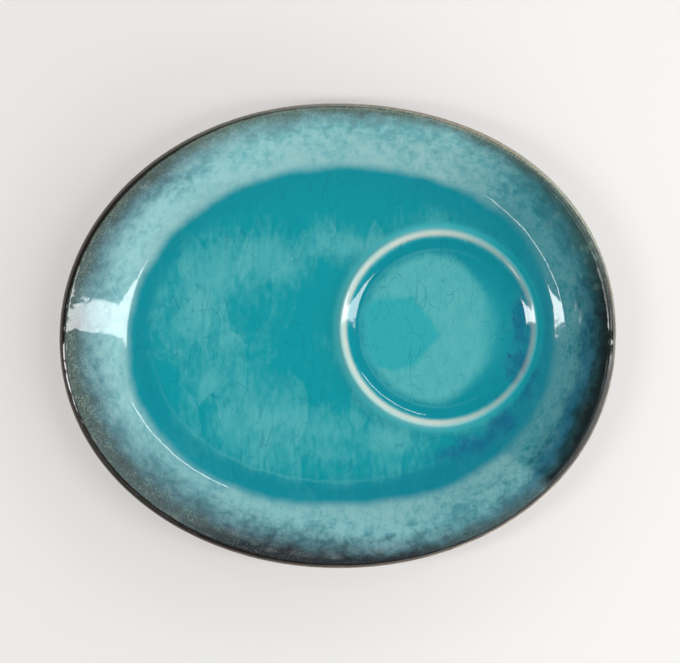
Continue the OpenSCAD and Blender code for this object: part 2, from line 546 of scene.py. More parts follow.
class SurfaceLines:
    """The stations of the dish's outer face and of the clay under it, and the places where coats meet."""

    def __init__(self, form: DishForm) -> None:
        """Works out both faces.

        Args:
            form: The dish's sizes.
        """
        self.form = form
        self.climb = round(form.cove_steps * form.climb_share)
        self.lip_start = form.cove_steps + form.slope_steps
        self.lip_end = self.lip_start + form.lip_steps
        glaze = form.section(form.lip_r + form.lip_coat, form.pool_z, form.glaze_base_z)
        clay = form.section(form.lip_r, form.clay_floor_z, form.foot_h)
        outermost = min(range(len(glaze)), key=lambda i: glaze[i][0])
        self.rise = [Station(inset, height, ripple=self._ripple(i), depth=inset if i <= outermost else -inset)
                     for i, (inset, height) in enumerate(glaze)]
        self.rise.append(Station(form.foot_in, form.glaze_base_z, depth=-form.foot_in))
        self.clay_rise = [Station(inset, height) for inset, height in clay]
        self.floor = self._floor(form.pool_z, form.floor_steps, 1.0)
        self.clay_floor = self._floor(form.clay_floor_z, form.clay_floor_steps, 0.0)
        self.flank = self._flank(form.pool_z, form.crest_z, 1.0)
        self.clay_flank = self._flank(form.clay_floor_z, form.clay_crest_z, 0.0)
        self.disc = self._disc(form.pool_z, 1.0)
        self.clay_disc = self._disc(form.clay_floor_z, 0.0)
        self._number_lines()

    def _ripple(self, index: int) -> float:
        """How much of the glaze's ripple a station of the rise takes: all on the rim, none at the lip."""
        return min(1.0, max(0.0, (self.lip_start - index) / (self.lip_start - self.form.cove_steps)))

    def _floor(self, height: float, steps: int, ripple: float) -> list[Station]:
        """The floor of the well, from the cove's foot to the cup ring."""
        form = self.form
        return [Station(form.floor_in, height, i / steps, form.ring_r, ripple) for i in range(1, steps)]

    def _flank(self, low: float, high: float, ripple: float) -> list[Station]:
        """Both flanks of the cup ring, from its outer edge over the crest to its inner edge.

        Args:
            low: Height at both edges.
            high: Height at the crest.
            ripple: Share of the glaze's ripple.

        Returns:
            The stations.
        """
        form = self.form
        stations = []
        for i in range(-form.flank_steps, form.flank_steps + 1):
            share = i / form.flank_steps
            reach = form.inner_flank_w if share > 0 else form.ring_r - form.crest_r
            risen = self._inner_rise(1 - share) if share > 0 else (1 + math.cos(math.pi * share)) / 2
            stations.append(Station(form.floor_in, low + (high - low) * risen, 1.0,
                                    form.crest_r - share * reach, ripple))
        return stations

    def _inner_rise(self, share: float) -> float:
        """How far the ring's inner flank has risen: like the side of a bowl, with a turn at the crest."""
        turn = self.form.crest_turn
        return share * share * (turn + 2 - 2 * share ** turn) / turn

    def _disc(self, height: float, ripple: float) -> list[Station]:
        """The floor inside the cup ring, from its edge to the middle.

        Args:
            height: Its height.
            ripple: Share of the glaze's ripple.

        Returns:
            The stations.
        """
        form = self.form
        return [Station(form.floor_in, height, 1.0, form.cup_floor_r * (1 - i / form.disc_steps), ripple)
                for i in range(1, form.disc_steps + 1)]

    def _number_lines(self) -> None:
        """Numbers the outer stations in one run, from the middle of the cup's floor to the underside."""
        count = 0
        for name in ("disc", "flank", "floor"):
            stations = getattr(self, name)
            numbered = [replace(s, line=count + len(stations) - 1 - i) for i, s in enumerate(stations)]
            setattr(self, name, numbered)
            count += len(stations)
        self.rise = [replace(s, line=count + i) for i, s in enumerate(self.rise)]
        self.outer = self.disc[::-1] + self.flank[::-1] + self.floor[::-1] + self.rise


class RoundTheDish:
    """The Geometry Nodes tree that wraps a flat strip of stations round the oval and the cup ring."""

    spokes: int = 480
    ripples: tuple = ((34 * MM, 0.42 * MM), (11 * MM, 0.09 * MM))
    thick_bearing: float = 168
    thick_sharpness: float = 8
    thick_shift: float = 2.6 * MM
    weld: float = 0.001 * MM

    def __init__(self, form: DishForm) -> None:
        """Builds the tree for one dish.

        Args:
            form: The dish's sizes.
        """
        self.form = form
        self.tree = bpy.data.node_groups.new("round_the_dish", "GeometryNodeTree")
        self.inputs: dict[str, str] = {}
        graph = Graph(self.tree)
        self._declare("Strip", "NodeSocketGeometry", None)
        numbers = {"Length": form.length, "Width": form.width, "Fullness": form.oval_power,
                   "Floor Inset": form.floor_in, "Flat Inset": form.flat_in, "Wobble": form.hand_wobble,
                   "Lip Dip": form.lip_dip, "Ring X": form.ring_x, "Ring Y": form.ring_y, "Ripple": 1.0,
                   "Thick Shift": self.thick_shift, "Weld": self.weld}
        for name, value in numbers.items():
            self._declare(name, "NodeSocketFloat", value)
        self._declare("Finish", "NodeSocketMaterial", None)
        self.tree.interface.new_socket(name="Coat", in_out="OUTPUT", socket_type="NodeSocketGeometry")
        self._wire(graph)

    def _declare(self, name: str, kind: str, value: Optional[float]) -> None:
        """Adds a named input to the tree.

        Args:
            name: The input's name.
            kind: Its socket's type.
            value: Its usual value, where it has one.
        """
        item = self.tree.interface.new_socket(name=name, in_out="INPUT", socket_type=kind)
        if value is not None:
            item.default_value = value
        self.inputs[name] = item.identifier

    def _wire(self, graph: Graph) -> None:
        """Adds the nodes that move each point of the strip to its place on the dish.

        Args:
            graph: The tree's graph.
        """
        given = graph.node("NodeGroupInput", {}, {})
        size = {name: Flow(graph, given.outputs[name]) for name in self.inputs}
        angle = graph.attribute("share") * TURN
        loose = graph.attribute("ripple")
        thick = (((angle - math.radians(self.thick_bearing)).function("COSINE") - 1.0)
                 * self.thick_sharpness).function("EXPONENT")
        inset = graph.attribute("inset") + loose * thick * size["Thick Shift"]
        along, across = angle.function("COSINE"), angle.function("SINE")
        half_length, half_width, power = size["Length"] / 2.0, size["Width"] / 2.0, size["Fullness"]
        far_x = along.function("ABSOLUTE") / half_length
        far_y = across.function("ABSOLUTE") / half_width
        reach = (far_x ** power + far_y ** power) ** (-1.0 / power)
        normal = graph.vector(along.function("SIGN") * far_x ** (power - 1.0) / half_length,
                              across.function("SIGN") * far_y ** (power - 1.0) / half_width)
        normal = normal.unit()
        outline = graph.vector(along, across) * reach
        share = (1.0 - graph.attribute("inset") / size["Flat Inset"]).function("MAXIMUM", 0.0)
        soft = share * share * (3.0 - 2.0 * share)
        wander = self._waves(angle, self.form.wobble_shares) * size["Wobble"]
        shift = self._shift()
        on_oval = outline + normal * (wander * soft - inset) - graph.vector(*shift) * soft
        middle = graph.vector(size["Ring X"], size["Ring Y"])
        outward = (outline - normal * size["Floor Inset"] - middle).unit()
        on_ring = middle + outward * graph.attribute("radius")
        toward = graph.attribute("toward")
        flat = on_oval * (1.0 - toward) + on_ring * toward
        dip = (self._waves(angle, self.form.dip_shares) + self.form.dip_mean_share) * size["Lip Dip"]
        height = graph.attribute("height") - dip * soft
        ripple = total((graph.noise(flat, wide, detail=1.0) - 0.5) * deep for wide, deep in self.ripples)
        height = height + ripple * loose * size["Ripple"]
        place = flat + graph.vector(0.0, 0.0, height)
        moved = graph.node("GeometryNodeSetPosition", {}, {"Geometry": size["Strip"], "Position": place})
        welded = graph.node("GeometryNodeMergeByDistance", {},
                            {"Geometry": Flow(graph, moved.outputs[0]), "Distance": size["Weld"]})
        real = graph.node("GeometryNodeRealizeInstances", {}, {"Geometry": Flow(graph, welded.outputs[0])})
        dressed = graph.node("GeometryNodeSetMaterial", {},
                             {"Geometry": Flow(graph, real.outputs[0]), "Material": size["Finish"]})
        graph.node("NodeGroupOutput", {}, {"Coat": Flow(graph, dressed.outputs[0])})

    @staticmethod
    def _waves(angle: Flow, shares: Sequence[tuple]) -> Flow:
        """The sum of a few waves round the dish, given as (waves, share, bearing of a peak in degrees)."""
        return total((angle * float(count) - math.radians(peak)).function("COSINE") * share
                     for count, share, peak in shares)

    def _shift(self) -> tuple[float, float, float]:
        """How far the wandering outline's middle lies from the oval's own.

        Returns:
            The shift along the dish, across it and upward.
        """
        form = self.form
        angle = np.linspace(0, TURN, self.spokes, endpoint=False)
        far = np.abs([np.cos(angle) * 2 / form.length, np.sin(angle) * 2 / form.width])
        reach = (far ** form.oval_power).sum(0) ** (-1 / form.oval_power)
        fall = np.sign([np.cos(angle), np.sin(angle)]) * far ** (form.oval_power - 1)
        fall = fall / np.array([[form.length], [form.width]])
        waves = sum(share * np.cos(count * angle - math.radians(peak))
                    for count, share, peak in form.wobble_shares)
        lip = np.array([np.cos(angle), np.sin(angle)]) * reach
        lip = lip + form.hand_wobble * waves * fall / np.linalg.norm(fall, axis=0)
        middle = (lip.max(1) + lip.min(1)) / 2
        return float(middle[0]), float(middle[1]), 0.0

    def _strip(self, name: str, stations: Sequence[Station], closed: bool,
               carried: dict[str, np.ndarray]) -> bpy.types.Mesh:
        """Makes the flat strip that the tree wraps: share of the way round, inset and height.

        Args:
            name: The mesh's name.
            stations: The stations across the strip.
            closed: Whether the last station joins the first.
            carried: Numbers or vectors for each point, by the name of the attribute that carries them.

        Returns:
            The strip's mesh.
        """
        count, across = self.spokes, len(stations)
        share = np.repeat(np.arange(count) / count, across)
        columns = {key: np.tile([float(getattr(s, key)) for s in stations], count)
                   for key in ("inset", "height", "toward", "radius", "ripple", "depth")}
        columns["outer"] = np.tile([float(s.line >= 0) for s in stations], count)
        last = across if closed else across - 1
        spoke, step = np.meshgrid(np.arange(count), np.arange(last), indexing="ij")
        here, there = spoke * across, (spoke + 1) % count * across
        ahead = (step + 1) % across
        faces = np.stack([here + step, here + ahead, there + ahead, there + step], -1).reshape(-1, 4)
        mesh = bpy.data.meshes.new(name)
        points = np.stack([share, columns["inset"], columns["height"]], 1)
        mesh.from_pydata(points.tolist(), [], faces.tolist())
        for key, values in {"share": share, **columns, **carried}.items():
            kind, slot = ("FLOAT_VECTOR", "vector") if values.ndim == 2 else ("FLOAT", "value")
            layer = mesh.attributes.new(key, kind, "POINT")
            layer.data.foreach_set(slot, np.ascontiguousarray(values, np.float32).ravel())
        return mesh

    def wrap(self, name: str, stations: Sequence[Station], closed: bool, finish: Optional[bpy.types.Material],
             carried: dict[str, np.ndarray], weld: Optional[float] = None) -> bpy.types.Mesh:
        """Wraps a strip round the dish.

        Args:
            name: The mesh's name.
            stations: The stations across the strip.
            closed: Whether the last station joins the first.
            finish: The material that the tree sets.
            carried: Numbers or vectors for each point, by attribute.
            weld: Distance under which points are joined, where it isn't the usual one.

        Returns:
            The wrapped mesh, with what it carries as attributes.
        """
        strip = self._strip(f"{name}_strip", stations, closed, carried)
        holder = bpy.data.objects.new(f"{name}_holder", strip)
        bpy.context.scene.collection.objects.link(holder)
        modifier = holder.modifiers.new("wrap", "NODES")
        modifier.node_group = self.tree
        modifier[self.inputs["Finish"]] = finish
        if weld is not None:
            modifier[self.inputs["Weld"]] = weld
        graph = bpy.context.evaluated_depsgraph_get()
        mesh = bpy.data.meshes.new_from_object(holder.evaluated_get(graph), preserve_all_data_layers=True,
                                               depsgraph=graph)
        mesh.name = name
        holder.modifiers.remove(modifier)
        bpy.data.objects.remove(holder)
        bpy.data.meshes.remove(strip)
        return mesh


class SeamlessSurface:
    """The whole outer face of the glaze as one surface, which lends its normals and depths to every coat."""

    pole_gap: float = 0.01 * MM
    calm_share: float = 0.985

    def __init__(self, form: DishForm, lines: SurfaceLines, wrapper: RoundTheDish) -> None:
        """Wraps the outer stations once, as one open strip, and reads its places.

        Args:
            form: The dish's sizes.
            lines: The stations of its faces.
            wrapper: The tree that wraps strips.
        """
        opened = [replace(lines.outer[0], radius=self.pole_gap), *lines.outer[1:]]
        mesh = wrapper.wrap("outer_face", opened, False, None, {}, weld=0.0)
        flat = np.empty(len(mesh.vertices) * 3, np.float32)
        mesh.vertices.foreach_get("co", flat)
        self.places = flat.reshape(wrapper.spokes, len(opened), 3).astype(float)
        bpy.data.meshes.remove(mesh)
        self.calm = np.array([self.calm_share * (form.crest_r <= s.radius * s.toward <= form.ring_r)
                              for s in lines.outer])
        self.normals = self._slopes()
        self.depths = np.tile([s.depth for s in lines.outer], (wrapper.spokes, 1))
        self._measure_floor(form, len(lines.outer) - len(lines.rise))

    def _slopes(self) -> np.ndarray:
        """The unit normal at each place, turned nearly upright on the ring's outer flank.

        Returns:
            The normals, by spoke and station.
        """
        round_it = np.roll(self.places, -1, 0) - np.roll(self.places, 1, 0)
        across = np.gradient(self.places, axis=1)
        normals = np.cross(across, round_it)
        normals[:, 0] = (0, 0, 1)
        normals /= np.linalg.norm(normals, axis=2, keepdims=True)
        normals[..., :2] *= 1 - self.calm[None, :, None]
        return normals / np.linalg.norm(normals, axis=2, keepdims=True)

    def _measure_floor(self, form: DishForm, floor_lines: int) -> None:
        """Gives each place on the floor its true distance from the floor's edge as the rest of its depth.

        Args:
            form: The dish's sizes.
            floor_lines: The number of stations on the floor and the ring.
        """
        edge = self.places[:, floor_lines, :2]
        for line in range(floor_lines):
            gaps = self.places[:, None, line, :2] - edge[None]
            self.depths[:, line] = form.floor_in + np.sqrt((gaps ** 2).sum(2)).min(1)

    def lent(self, stations: Sequence[Station]) -> dict[str, np.ndarray]:
        """The normals and depths of a strip's points; points of the clay side take none.

        Args:
            stations: The stations across the strip.

        Returns:
            The attributes that the strip carries, by name.
        """
        picked = [max(s.line, 0) for s in stations]
        shown = np.array([s.line >= 0 for s in stations], float)
        return {"lie": (self.normals[:, picked] * shown[:, None]).reshape(-1, 3),
                "depth": (self.depths[:, picked] * shown).reshape(-1)}


@dataclass(frozen=True)
class Coat:
    """One piece wrapped round the dish: what it stands for, its finish and its section."""

    name: str
    slot: str
    stands_for: str
    outer: Sequence[Station]
    behind: Sequence[Station]
    closed: bool = True
    seamless: bool = True

    def build(self, wrapper: RoundTheDish, surface: SeamlessSurface,
              finish: bpy.types.Material) -> bpy.types.Object:
        """Wraps the piece, sets its shading normals and hangs it on the frame.

        Args:
            wrapper: The tree that wraps strips.
            surface: The surface that lends normals and depths.
            finish: The piece's material.

        Returns:
            The finished object.
        """
        stations = [*self.outer, *self.behind]
        carried = surface.lent(stations) if self.seamless else {}
        mesh = wrapper.wrap(self.name, stations, self.closed, finish, carried)
        piece = bpy.data.objects.new(self.name, mesh)
        bpy.context.scene.collection.objects.link(piece)
        mesh.polygons.foreach_set("use_smooth", [True] * len(mesh.polygons))
        self._shade(mesh)
        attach(piece, ROOT_BODY)
        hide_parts(self.stands_for)
        log.info("%s: %d faces, %.1f cm3", self.name, len(mesh.polygons), signed_volume(mesh) / CUBIC_CM)
        return piece

    def _shade(self, mesh: bpy.types.Mesh) -> None:
        """Sets a normal at every corner: the surface's own on the outer face, the face's own elsewhere.

        Args:
            mesh: The wrapped mesh.
        """
        corner = fetch(mesh.loops, "vertex_index", 1).astype(int)
        start = fetch(mesh.polygons, "loop_start", 1).astype(int)
        count = fetch(mesh.polygons, "loop_total", 1).astype(int)
        normals = np.repeat(fetch(mesh.polygons, "normal", 3), count, axis=0)
        if self.seamless:
            outer = fetch(mesh.attributes["outer"].data, "value", 1)
            shown = np.repeat(np.minimum.reduceat(outer[corner], start) > NEARLY_ONE, count)
            normals[shown] = fetch(mesh.attributes["lie"].data, "vector", 3)[corner[shown]]
        else:
            normals[:] = 0
        mesh.normals_split_custom_set(normals.tolist())


def fetch(items: bpy.types.bpy_prop_collection, name: str, width: int) -> np.ndarray:
    """Reads one property of every item of a collection.

    Args:
        items: The collection, such as a mesh's vertices.
        name: The property's name.
        width: How many numbers it has for each item.

    Returns:
        Numbers where the width is 1, else rows of that width.
    """
    values = np.empty(len(items) * width, np.float32)
    items.foreach_get(name, values)
    return values.astype(float) if width == 1 else values.reshape(-1, width).astype(float)


def signed_volume(mesh: bpy.types.Mesh) -> float:
    """The volume that a mesh closes in.

    Args:
        mesh: A closed mesh.

    Returns:
        The volume in cubic metres, negative where its faces look inward.
    """
    mesh.calc_loop_triangles()
    corners = fetch(mesh.vertices, "co", 3)[fetch(mesh.loop_triangles, "vertices", 3).astype(int)]
    return float(np.einsum("ij,ij->i", corners[:, 0], np.cross(corners[:, 1], corners[:, 2])).sum() / 6)


# Finishes

def new_finish(name: str) -> tuple[bpy.types.Material, Graph, Flow]:
    """Makes an empty material.

    Args:
        name: The material's name.

    Returns:
        The material, its graph, and the place on the piece that it reads.
    """
    finish = bpy.data.materials.new(name)
    finish.use_nodes = True
    graph = Graph(finish.node_tree)
    return finish, graph, graph.flow("ShaderNodeTexCoord", {}, {}, "Object")


@dataclass(frozen=True)
class RimLook:
    """How the glaze looks on one side of the rim: at the lip, in the dark band and beyond it."""

    lip: Tone
    edge: Tone
    fringe: Tone
    body: Tone
    milk: float


class Side(Enum):
    """The looks that the glaze takes on its way round the rim."""

    MISTY = RimLook(Tone(116, 104, 88), Tone(92, 114, 108), Tone(108, 142, 146), Tone(98, 175, 183), 0.84)
    SLATE = RimLook(Tone(92, 74, 58), Tone(76, 92, 90), Tone(72, 102, 114), Tone(94, 160, 170), 0.74)
    MURKY = RimLook(Tone(30, 24, 20), Tone(72, 89, 90), Tone(68, 101, 113), Tone(88, 154, 164), 0.46)
    CHARCOAL = RimLook(Tone(118, 98, 72), Tone(40, 47, 52), Tone(48, 69, 81), Tone(88, 157, 166), 0.52)
    SHORE = RimLook(Tone(172, 162, 144), Tone(70, 90, 92), Tone(72, 108, 118), Tone(72, 148, 157), 0.44)
    NIGHT = RimLook(Tone(128, 122, 108), Tone(14, 28, 29), Tone(16, 54, 66), Tone(34, 132, 144), 0.24)
    DUSK = RimLook(Tone(128, 132, 114), Tone(54, 84, 82), Tone(50, 111, 119), Tone(36, 136, 149), 0.24)


@dataclass(frozen=True)
class RimZone:
    """A place on the rim: its bearing in degrees, its look, and two insets in millimetres."""

    bearing: float
    side: Side
    dark_depth: float
    pool_inset: float

    def numbers(self) -> tuple[float, float, float]:
        """The depth of the dark band and the inset of the pool in metres, and how milky the rim is."""
        return self.dark_depth * MM, self.pool_inset * MM, self.side.value.milk


@dataclass(frozen=True)
class RimReading:
    """What the zones round the rim give at a point: tones, then sizes in metres and a share."""

    lip: Flow
    edge: Flow
    fringe: Flow
    body: Flow
    dark_depth: Flow
    pool_inset: Flow
    milk: Flow


@dataclass(frozen=True)
class RimPoint:
    """A point on the rim: where it is, its direction and depth, and how the irregularities swing there."""

    flat: Flow
    turned: Flow
    depth: Flow
    cloud: Flow
    puff: Flow
    grain: Flow


@dataclass(frozen=True)
class Patch:
    """An oval patch on the floor, in millimetres, which adds its strength to the milk or the cobalt there."""

    x: float
    y: float
    reach_x: float
    reach_y: float
    strength: float

    def share(self, x: Flow, y: Flow) -> Flow:
        """How strongly the patch shows at a place, fading softly from its middle.

        Args:
            x: The place along the dish, in metres.
            y: The place across it.

        Returns:
            The flow of its strength.
        """
        off_x = (x - self.x * MM) / (self.reach_x * MM)
        off_y = (y - self.y * MM) / (self.reach_y * MM)
        return ((off_x * off_x + off_y * off_y) * -1.0).function("EXPONENT") * self.strength


RIM_ZONES = (
    RimZone(0, Side.NIGHT, 14, 30.7),
    RimZone(8, Side.NIGHT, 13, 30.1),
    RimZone(20, Side.DUSK, 13, 28.5),
    RimZone(36, Side.DUSK, 9.4, 28),
    RimZone(60, Side.MISTY, 5.5, 30.1),
    RimZone(90, Side.MISTY, 7, 31.6),
    RimZone(118, Side.MISTY, 10.5, 32.8),
    RimZone(138, Side.SLATE, 11.5, 33.8),
    RimZone(157, Side.SLATE, 13, 33.3),
    RimZone(180, Side.SLATE, 15, 32),
    RimZone(197, Side.SLATE, 16, 30.8),
    RimZone(212, Side.MURKY, 17, 30.3),
    RimZone(228, Side.MURKY, 17, 30.3),
    RimZone(245, Side.CHARCOAL, 15, 30.7),
    RimZone(268, Side.CHARCOAL, 13, 31.8),
    RimZone(287, Side.CHARCOAL, 9, 31.4),
    RimZone(304, Side.SHORE, 8.5, 29.5),
    RimZone(324, Side.SHORE, 8, 29.2),
    RimZone(326, Side.NIGHT, 12, 30),
    RimZone(344, Side.NIGHT, 15, 29.6),
    RimZone(360, Side.NIGHT, 14, 30.7),
)
MILKY_PATCHES = (
    Patch(-66, 15, 17, 17, 0.42),
    Patch(-42, 37, 24, 13, 0.46),
    Patch(8, 45, 26, 7, 0.44),
    Patch(-5, 19, 13, 15, -0.62),
    Patch(-12, 71, 55, 10, -0.5),
    Patch(-32, -48, 38, 15, 0.34),
    Patch(-70, -24, 13, 11, 0.26),
    Patch(-56, -3, 14, 9, 0.18),
    Patch(-88, -30, 14, 18, -0.4),
    Patch(-12, -9, 17, 13, -0.26),
    Patch(30, -52, 15, 7, 0.4),
)
COBALT_SPOTS = (
    Patch(92, 8, 6, 18, 1.1),
    Patch(87, -16, 7, 9, 0.75),
    Patch(52, -61, 12, 6, 0.55),
    Patch(68, -54, 12, 6, 0.8),
    Patch(83, -42, 9, 9, 0.85),
    Patch(97, -24, 5, 12, 0.6),
)


@dataclass(frozen=True)
class Blobs:
    """Soft blobs: their size in millimetres, their own pattern, and how fine, rough and stirred they are."""

    size: float
    pattern: float
    detail: float
    roughness: float = 0.5
    stirring: float = 0.0


class Mottle(Enum):
    """The irregularities of glaze and clay, each with blobs and a pattern of its own."""

    SKIN = Blobs(5, 1, 1.0)
    POOL_EDGE = Blobs(20, 5, 4.0, 0.6)
    RIM_CLOUD = Blobs(16, 11, 3.0, 0.5, 0.4)
    RIM_PUFF = Blobs(6.2, 3, 2.6, 0.5, 0.5)
    RIM_GRAIN = Blobs(0.9, 7, 2.0, 0.7)
    RIM_HATCH = Blobs(2.6, 13, 2.0, 0.5, 0.5)
    RIM_SWELL = Blobs(5.5, 31, 1.0)
    RIM_WISP = Blobs(2.2, 35, 3.0, 0.5, 0.6)
    POOL_CLOUD = Blobs(22, 4, 4.0, 0.6, 0.8)
    POOL_GRAIN = Blobs(2.6, 2, 3.0, 0.6)
    CROOK_ALONG = Blobs(12, 15, 1.0)
    CROOK_ACROSS = Blobs(12, 17, 1.0)
    CRACKLE_SHOWN = Blobs(12, 19, 3.0)
    VEINS_BROKEN = Blobs(3, 21, 2.0)
    COBALT_STIR = Blobs(7, 9, 3.0)
    CUP_STIR = Blobs(8, 6, 3.0, 0.55)
    CUP_GRAIN = Blobs(2.4, 23, 3.0)
    CREST_STIR = Blobs(9, 27, 3.0)
    LIP_STIR = Blobs(5, 8, 4.0, 0.65)
    LIP_GRAIN = Blobs(1.2, 25, 2.0)
    LIP_SWELL = Blobs(8, 29, 0.0)
    UNDER_BROAD = Blobs(22, 0, 4.0, 0.6)
    UNDER_FINE = Blobs(2.2, 3, 3.0, 0.6)
    CLAY_BROAD = Blobs(14, 0, 4.0)
    CLAY_GRAIN = Blobs(0.7, 2, 2.0)

    def level(self, place: Flow) -> Flow:
        """The irregularity at a place, from 0 to 1.

        Args:
            place: Where it is read, in metres.

        Returns:
            Its flow.
        """
        blobs = self.value
        return place.graph.noise(place, blobs.size * MM, blobs.detail, blobs.roughness, blobs.stirring,
                                 blobs.pattern)

    def swing(self, place: Flow) -> Flow:
        """The irregularity at a place, from -0.5 to 0.5."""
        return self.level(place) - 0.5


@dataclass(frozen=True)
class Aim:
    """A bearing in degrees, and how narrowly it is kept to."""

    bearing: float
    sharpness: float


class Toward(Enum):
    """The sides of the dish on which the glaze looks different, and where light is painted into it."""

    HATCHED_RIM = Aim(0, 4)
    WISPY_RIM = Aim(255, 2)
    GRITTY_RIM = Aim(200, 2.5)
    SPOTTED_RIM = Aim(19, 22)
    STAINED_RIM = Aim(340, 9)
    COBALT_BANK = Aim(345, 1.5)
    # Painted light: the well's edge is painted lighter on this side
    PAINTED_LIGHT_BANK = Aim(90, 1.5)
    # Painted highlight: a pale line in the well on this side
    PAINTED_HIGHLIGHT_BANK = Aim(245, 3)
    FADING_CUP = Aim(0, 6)
    UPPER_LIP_LINE = Aim(150, 9)
    LOWER_LIP_LINE = Aim(215, 5)
    FAINT_LIP_LINE = Aim(55, 3)
    # Light specks of glaze on the lip, which also stand for a painted glint on this side
    SPECKS_AND_GLINT_LIP = Aim(75, 2)
    BARE_LIP = Aim(42, 9)
    DULL_LIP = Aim(359, 2.5)
    GLOSSY_LIP = Aim(359, 220)

    def share(self, direction: Flow) -> Flow:
        """How nearly a direction points to this side.

        Args:
            direction: The direction, at a length of one.

        Returns:
            1 at the side's bearing, falling to almost 0 away from it.
        """
        turn = math.radians(self.value.bearing)
        aim = (math.cos(turn), math.sin(turn), 0.0)
        return ((direction.dot(aim) - 1.0) * self.value.sharpness).function("EXPONENT")


@dataclass(frozen=True)
class Span:
    """Two distances in millimetres: a look is absent at the first and full at the second."""

    absent: float
    full: float


class Fade(Enum):
    """Where each part of the glaze's look, and of the light painted into it, sets in."""

    # Depth from the lip
    RIM_STRANDS = Span(32, 24)
    RIM_MILK = Span(4, 27)
    RIM_BLUE = Span(26, 7)
    RIM_SPOTS = Span(25, 14)
    RIM_RELIEF = Span(14, 4)
    POOL_MILK = Span(38, 46)
    POOL_DEEP = Span(38, 48)
    LIP_SPECKS_AND_GLINT = Span(3.6, 2.4)
    LIP_LINE = Span(2.6, 1.7)
    LIP_EDGE = Span(0.9, 0.4)
    LIP_SWELL = Span(12, 2)
    LIP_DULL = Span(5, 3.5)
    # Radius from the cup ring's middle
    CHANNEL = Span(46.6, 44.4)
    CUP_TONE = Span(40, 26)
    # Painted light round the cup ring, laid over the shadow that the ring casts
    PAINTED_LIGHT_OUTSIDE = Span(54.5, 51)
    PAINTED_LIGHT_INSIDE = Span(47.5, 49.5)
    # Partly the real pale halo outside the crest, partly painted light over the ring's shadow
    HALO_AND_PAINTED_LIGHT_INSIDE = Span(46, 48.5)
    HALO_AND_PAINTED_LIGHT_OUTSIDE = Span(57.5, 49)
    CREST_INSIDE = Span(45.6, 48)
    # Distance from a line of its own
    POOLED = Span(-3.4, 2.6)
    # Painted highlight line in the well
    PAINTED_HIGHLIGHT_LINE = Span(1.4, 0)
    CUP_BRINK = Span(3, -1.2)
    CUP_EDGE = Span(1.2, 0)

    def share(self, distance: Flow) -> Flow:
        """How far the look has set in at a distance in metres, from 0 to 1."""
        return distance.graph.ramp(distance, self.value.absent * MM, self.value.full * MM)


@dataclass(frozen=True)
class GlazePalette:
    """The colours of the glaze where it lies thick, where it broke over edges, and where it ran, and of the
    light painted over it by the cup ring and the well's edge.
    """

    pool: Tone = Tone(4, 150, 161)
    pool_edge: Tone = Tone(4, 138, 152)
    milky: Tone = Tone(84, 178, 182)
    pale: Tone = Tone(158, 203, 202)
    cobalt: Tone = Tone(14, 100, 138)
    crackle: Tone = Tone(8, 112, 128)
    cobalt_crackle: Tone = Tone(20, 66, 108)
    crest: Tone = Tone(218, 218, 204)
    cup_floor: Tone = Tone(88, 182, 185)
    cup_shade: Tone = Tone(42, 168, 176)
    channel: Tone = Tone(2, 140, 154)
    # Painted light: the teal that lightens the cup ring's shadow and the well's top edge
    painted_light: Tone = Tone(16, 174, 184)
    halo_and_painted_light: Tone = Tone(126, 220, 226)
    fleck: Tone = Tone(142, 148, 128)
    olive: Tone = Tone(112, 144, 134)
    soot: Tone = Tone(22, 28, 28)
    lip_line: Tone = Tone(24, 19, 14)


@dataclass(frozen=True)
class Cover:
    """How strongly each part of the glaze's look, and of the light painted into it, shows over the parts
    before it, as shares of 1.

    The thinning and the gap are taken off, and the left ones are added at the left of the cup ring.
    """

    rim_blue: float = 0.55
    rim_fringe: float = 0.9
    rim_flecks: float = 0.54
    rim_soot: float = 0.5
    rim_thinning: float = 0.3
    rim_spots: float = 0.45
    rim_stain: float = 0.42
    cobalt_bank: float = 0.3
    # Painted light on the well's top edge
    painted_light_bank: float = 0.28
    painted_highlight_bank: float = 0.3
    crackle: float = 0.4
    cobalt_crackle: float = 0.55
    cobalt: float = 0.85
    cup_tone: float = 0.5
    cup_milk: float = 0.86
    cup_wedge: float = 0.9
    cup_edge: float = 0.2
    # Painted light over the cup ring's shadow, stronger on its left
    ring_painted_light: float = 0.7
    ring_painted_light_left: float = 0.3
    halo_and_painted_light: float = 0.52
    crest: float = 0.34
    # Painted light: the crest's band is paler on its left
    crest_painted_light_left: float = 0.42
    lip_specks_and_glint: float = 0.7
    lip_line_gap: float = 0.8


@dataclass(frozen=True)
class Relief:
    """How high each irregularity stands in the glaze, in millimetres."""

    skin: float = 0.03
    rim_cloud: float = 0.05
    rim_swell: float = 0.12
    rim_grain: float = 0.004
    lip_swell: float = 0.4


class Layer(Enum):
    """The parts of the glaze's look; a finish takes only those that its pieces show."""

    RIM = "rim"
    POOL = "pool"
    RING = "ring"
    LIP = "lip"


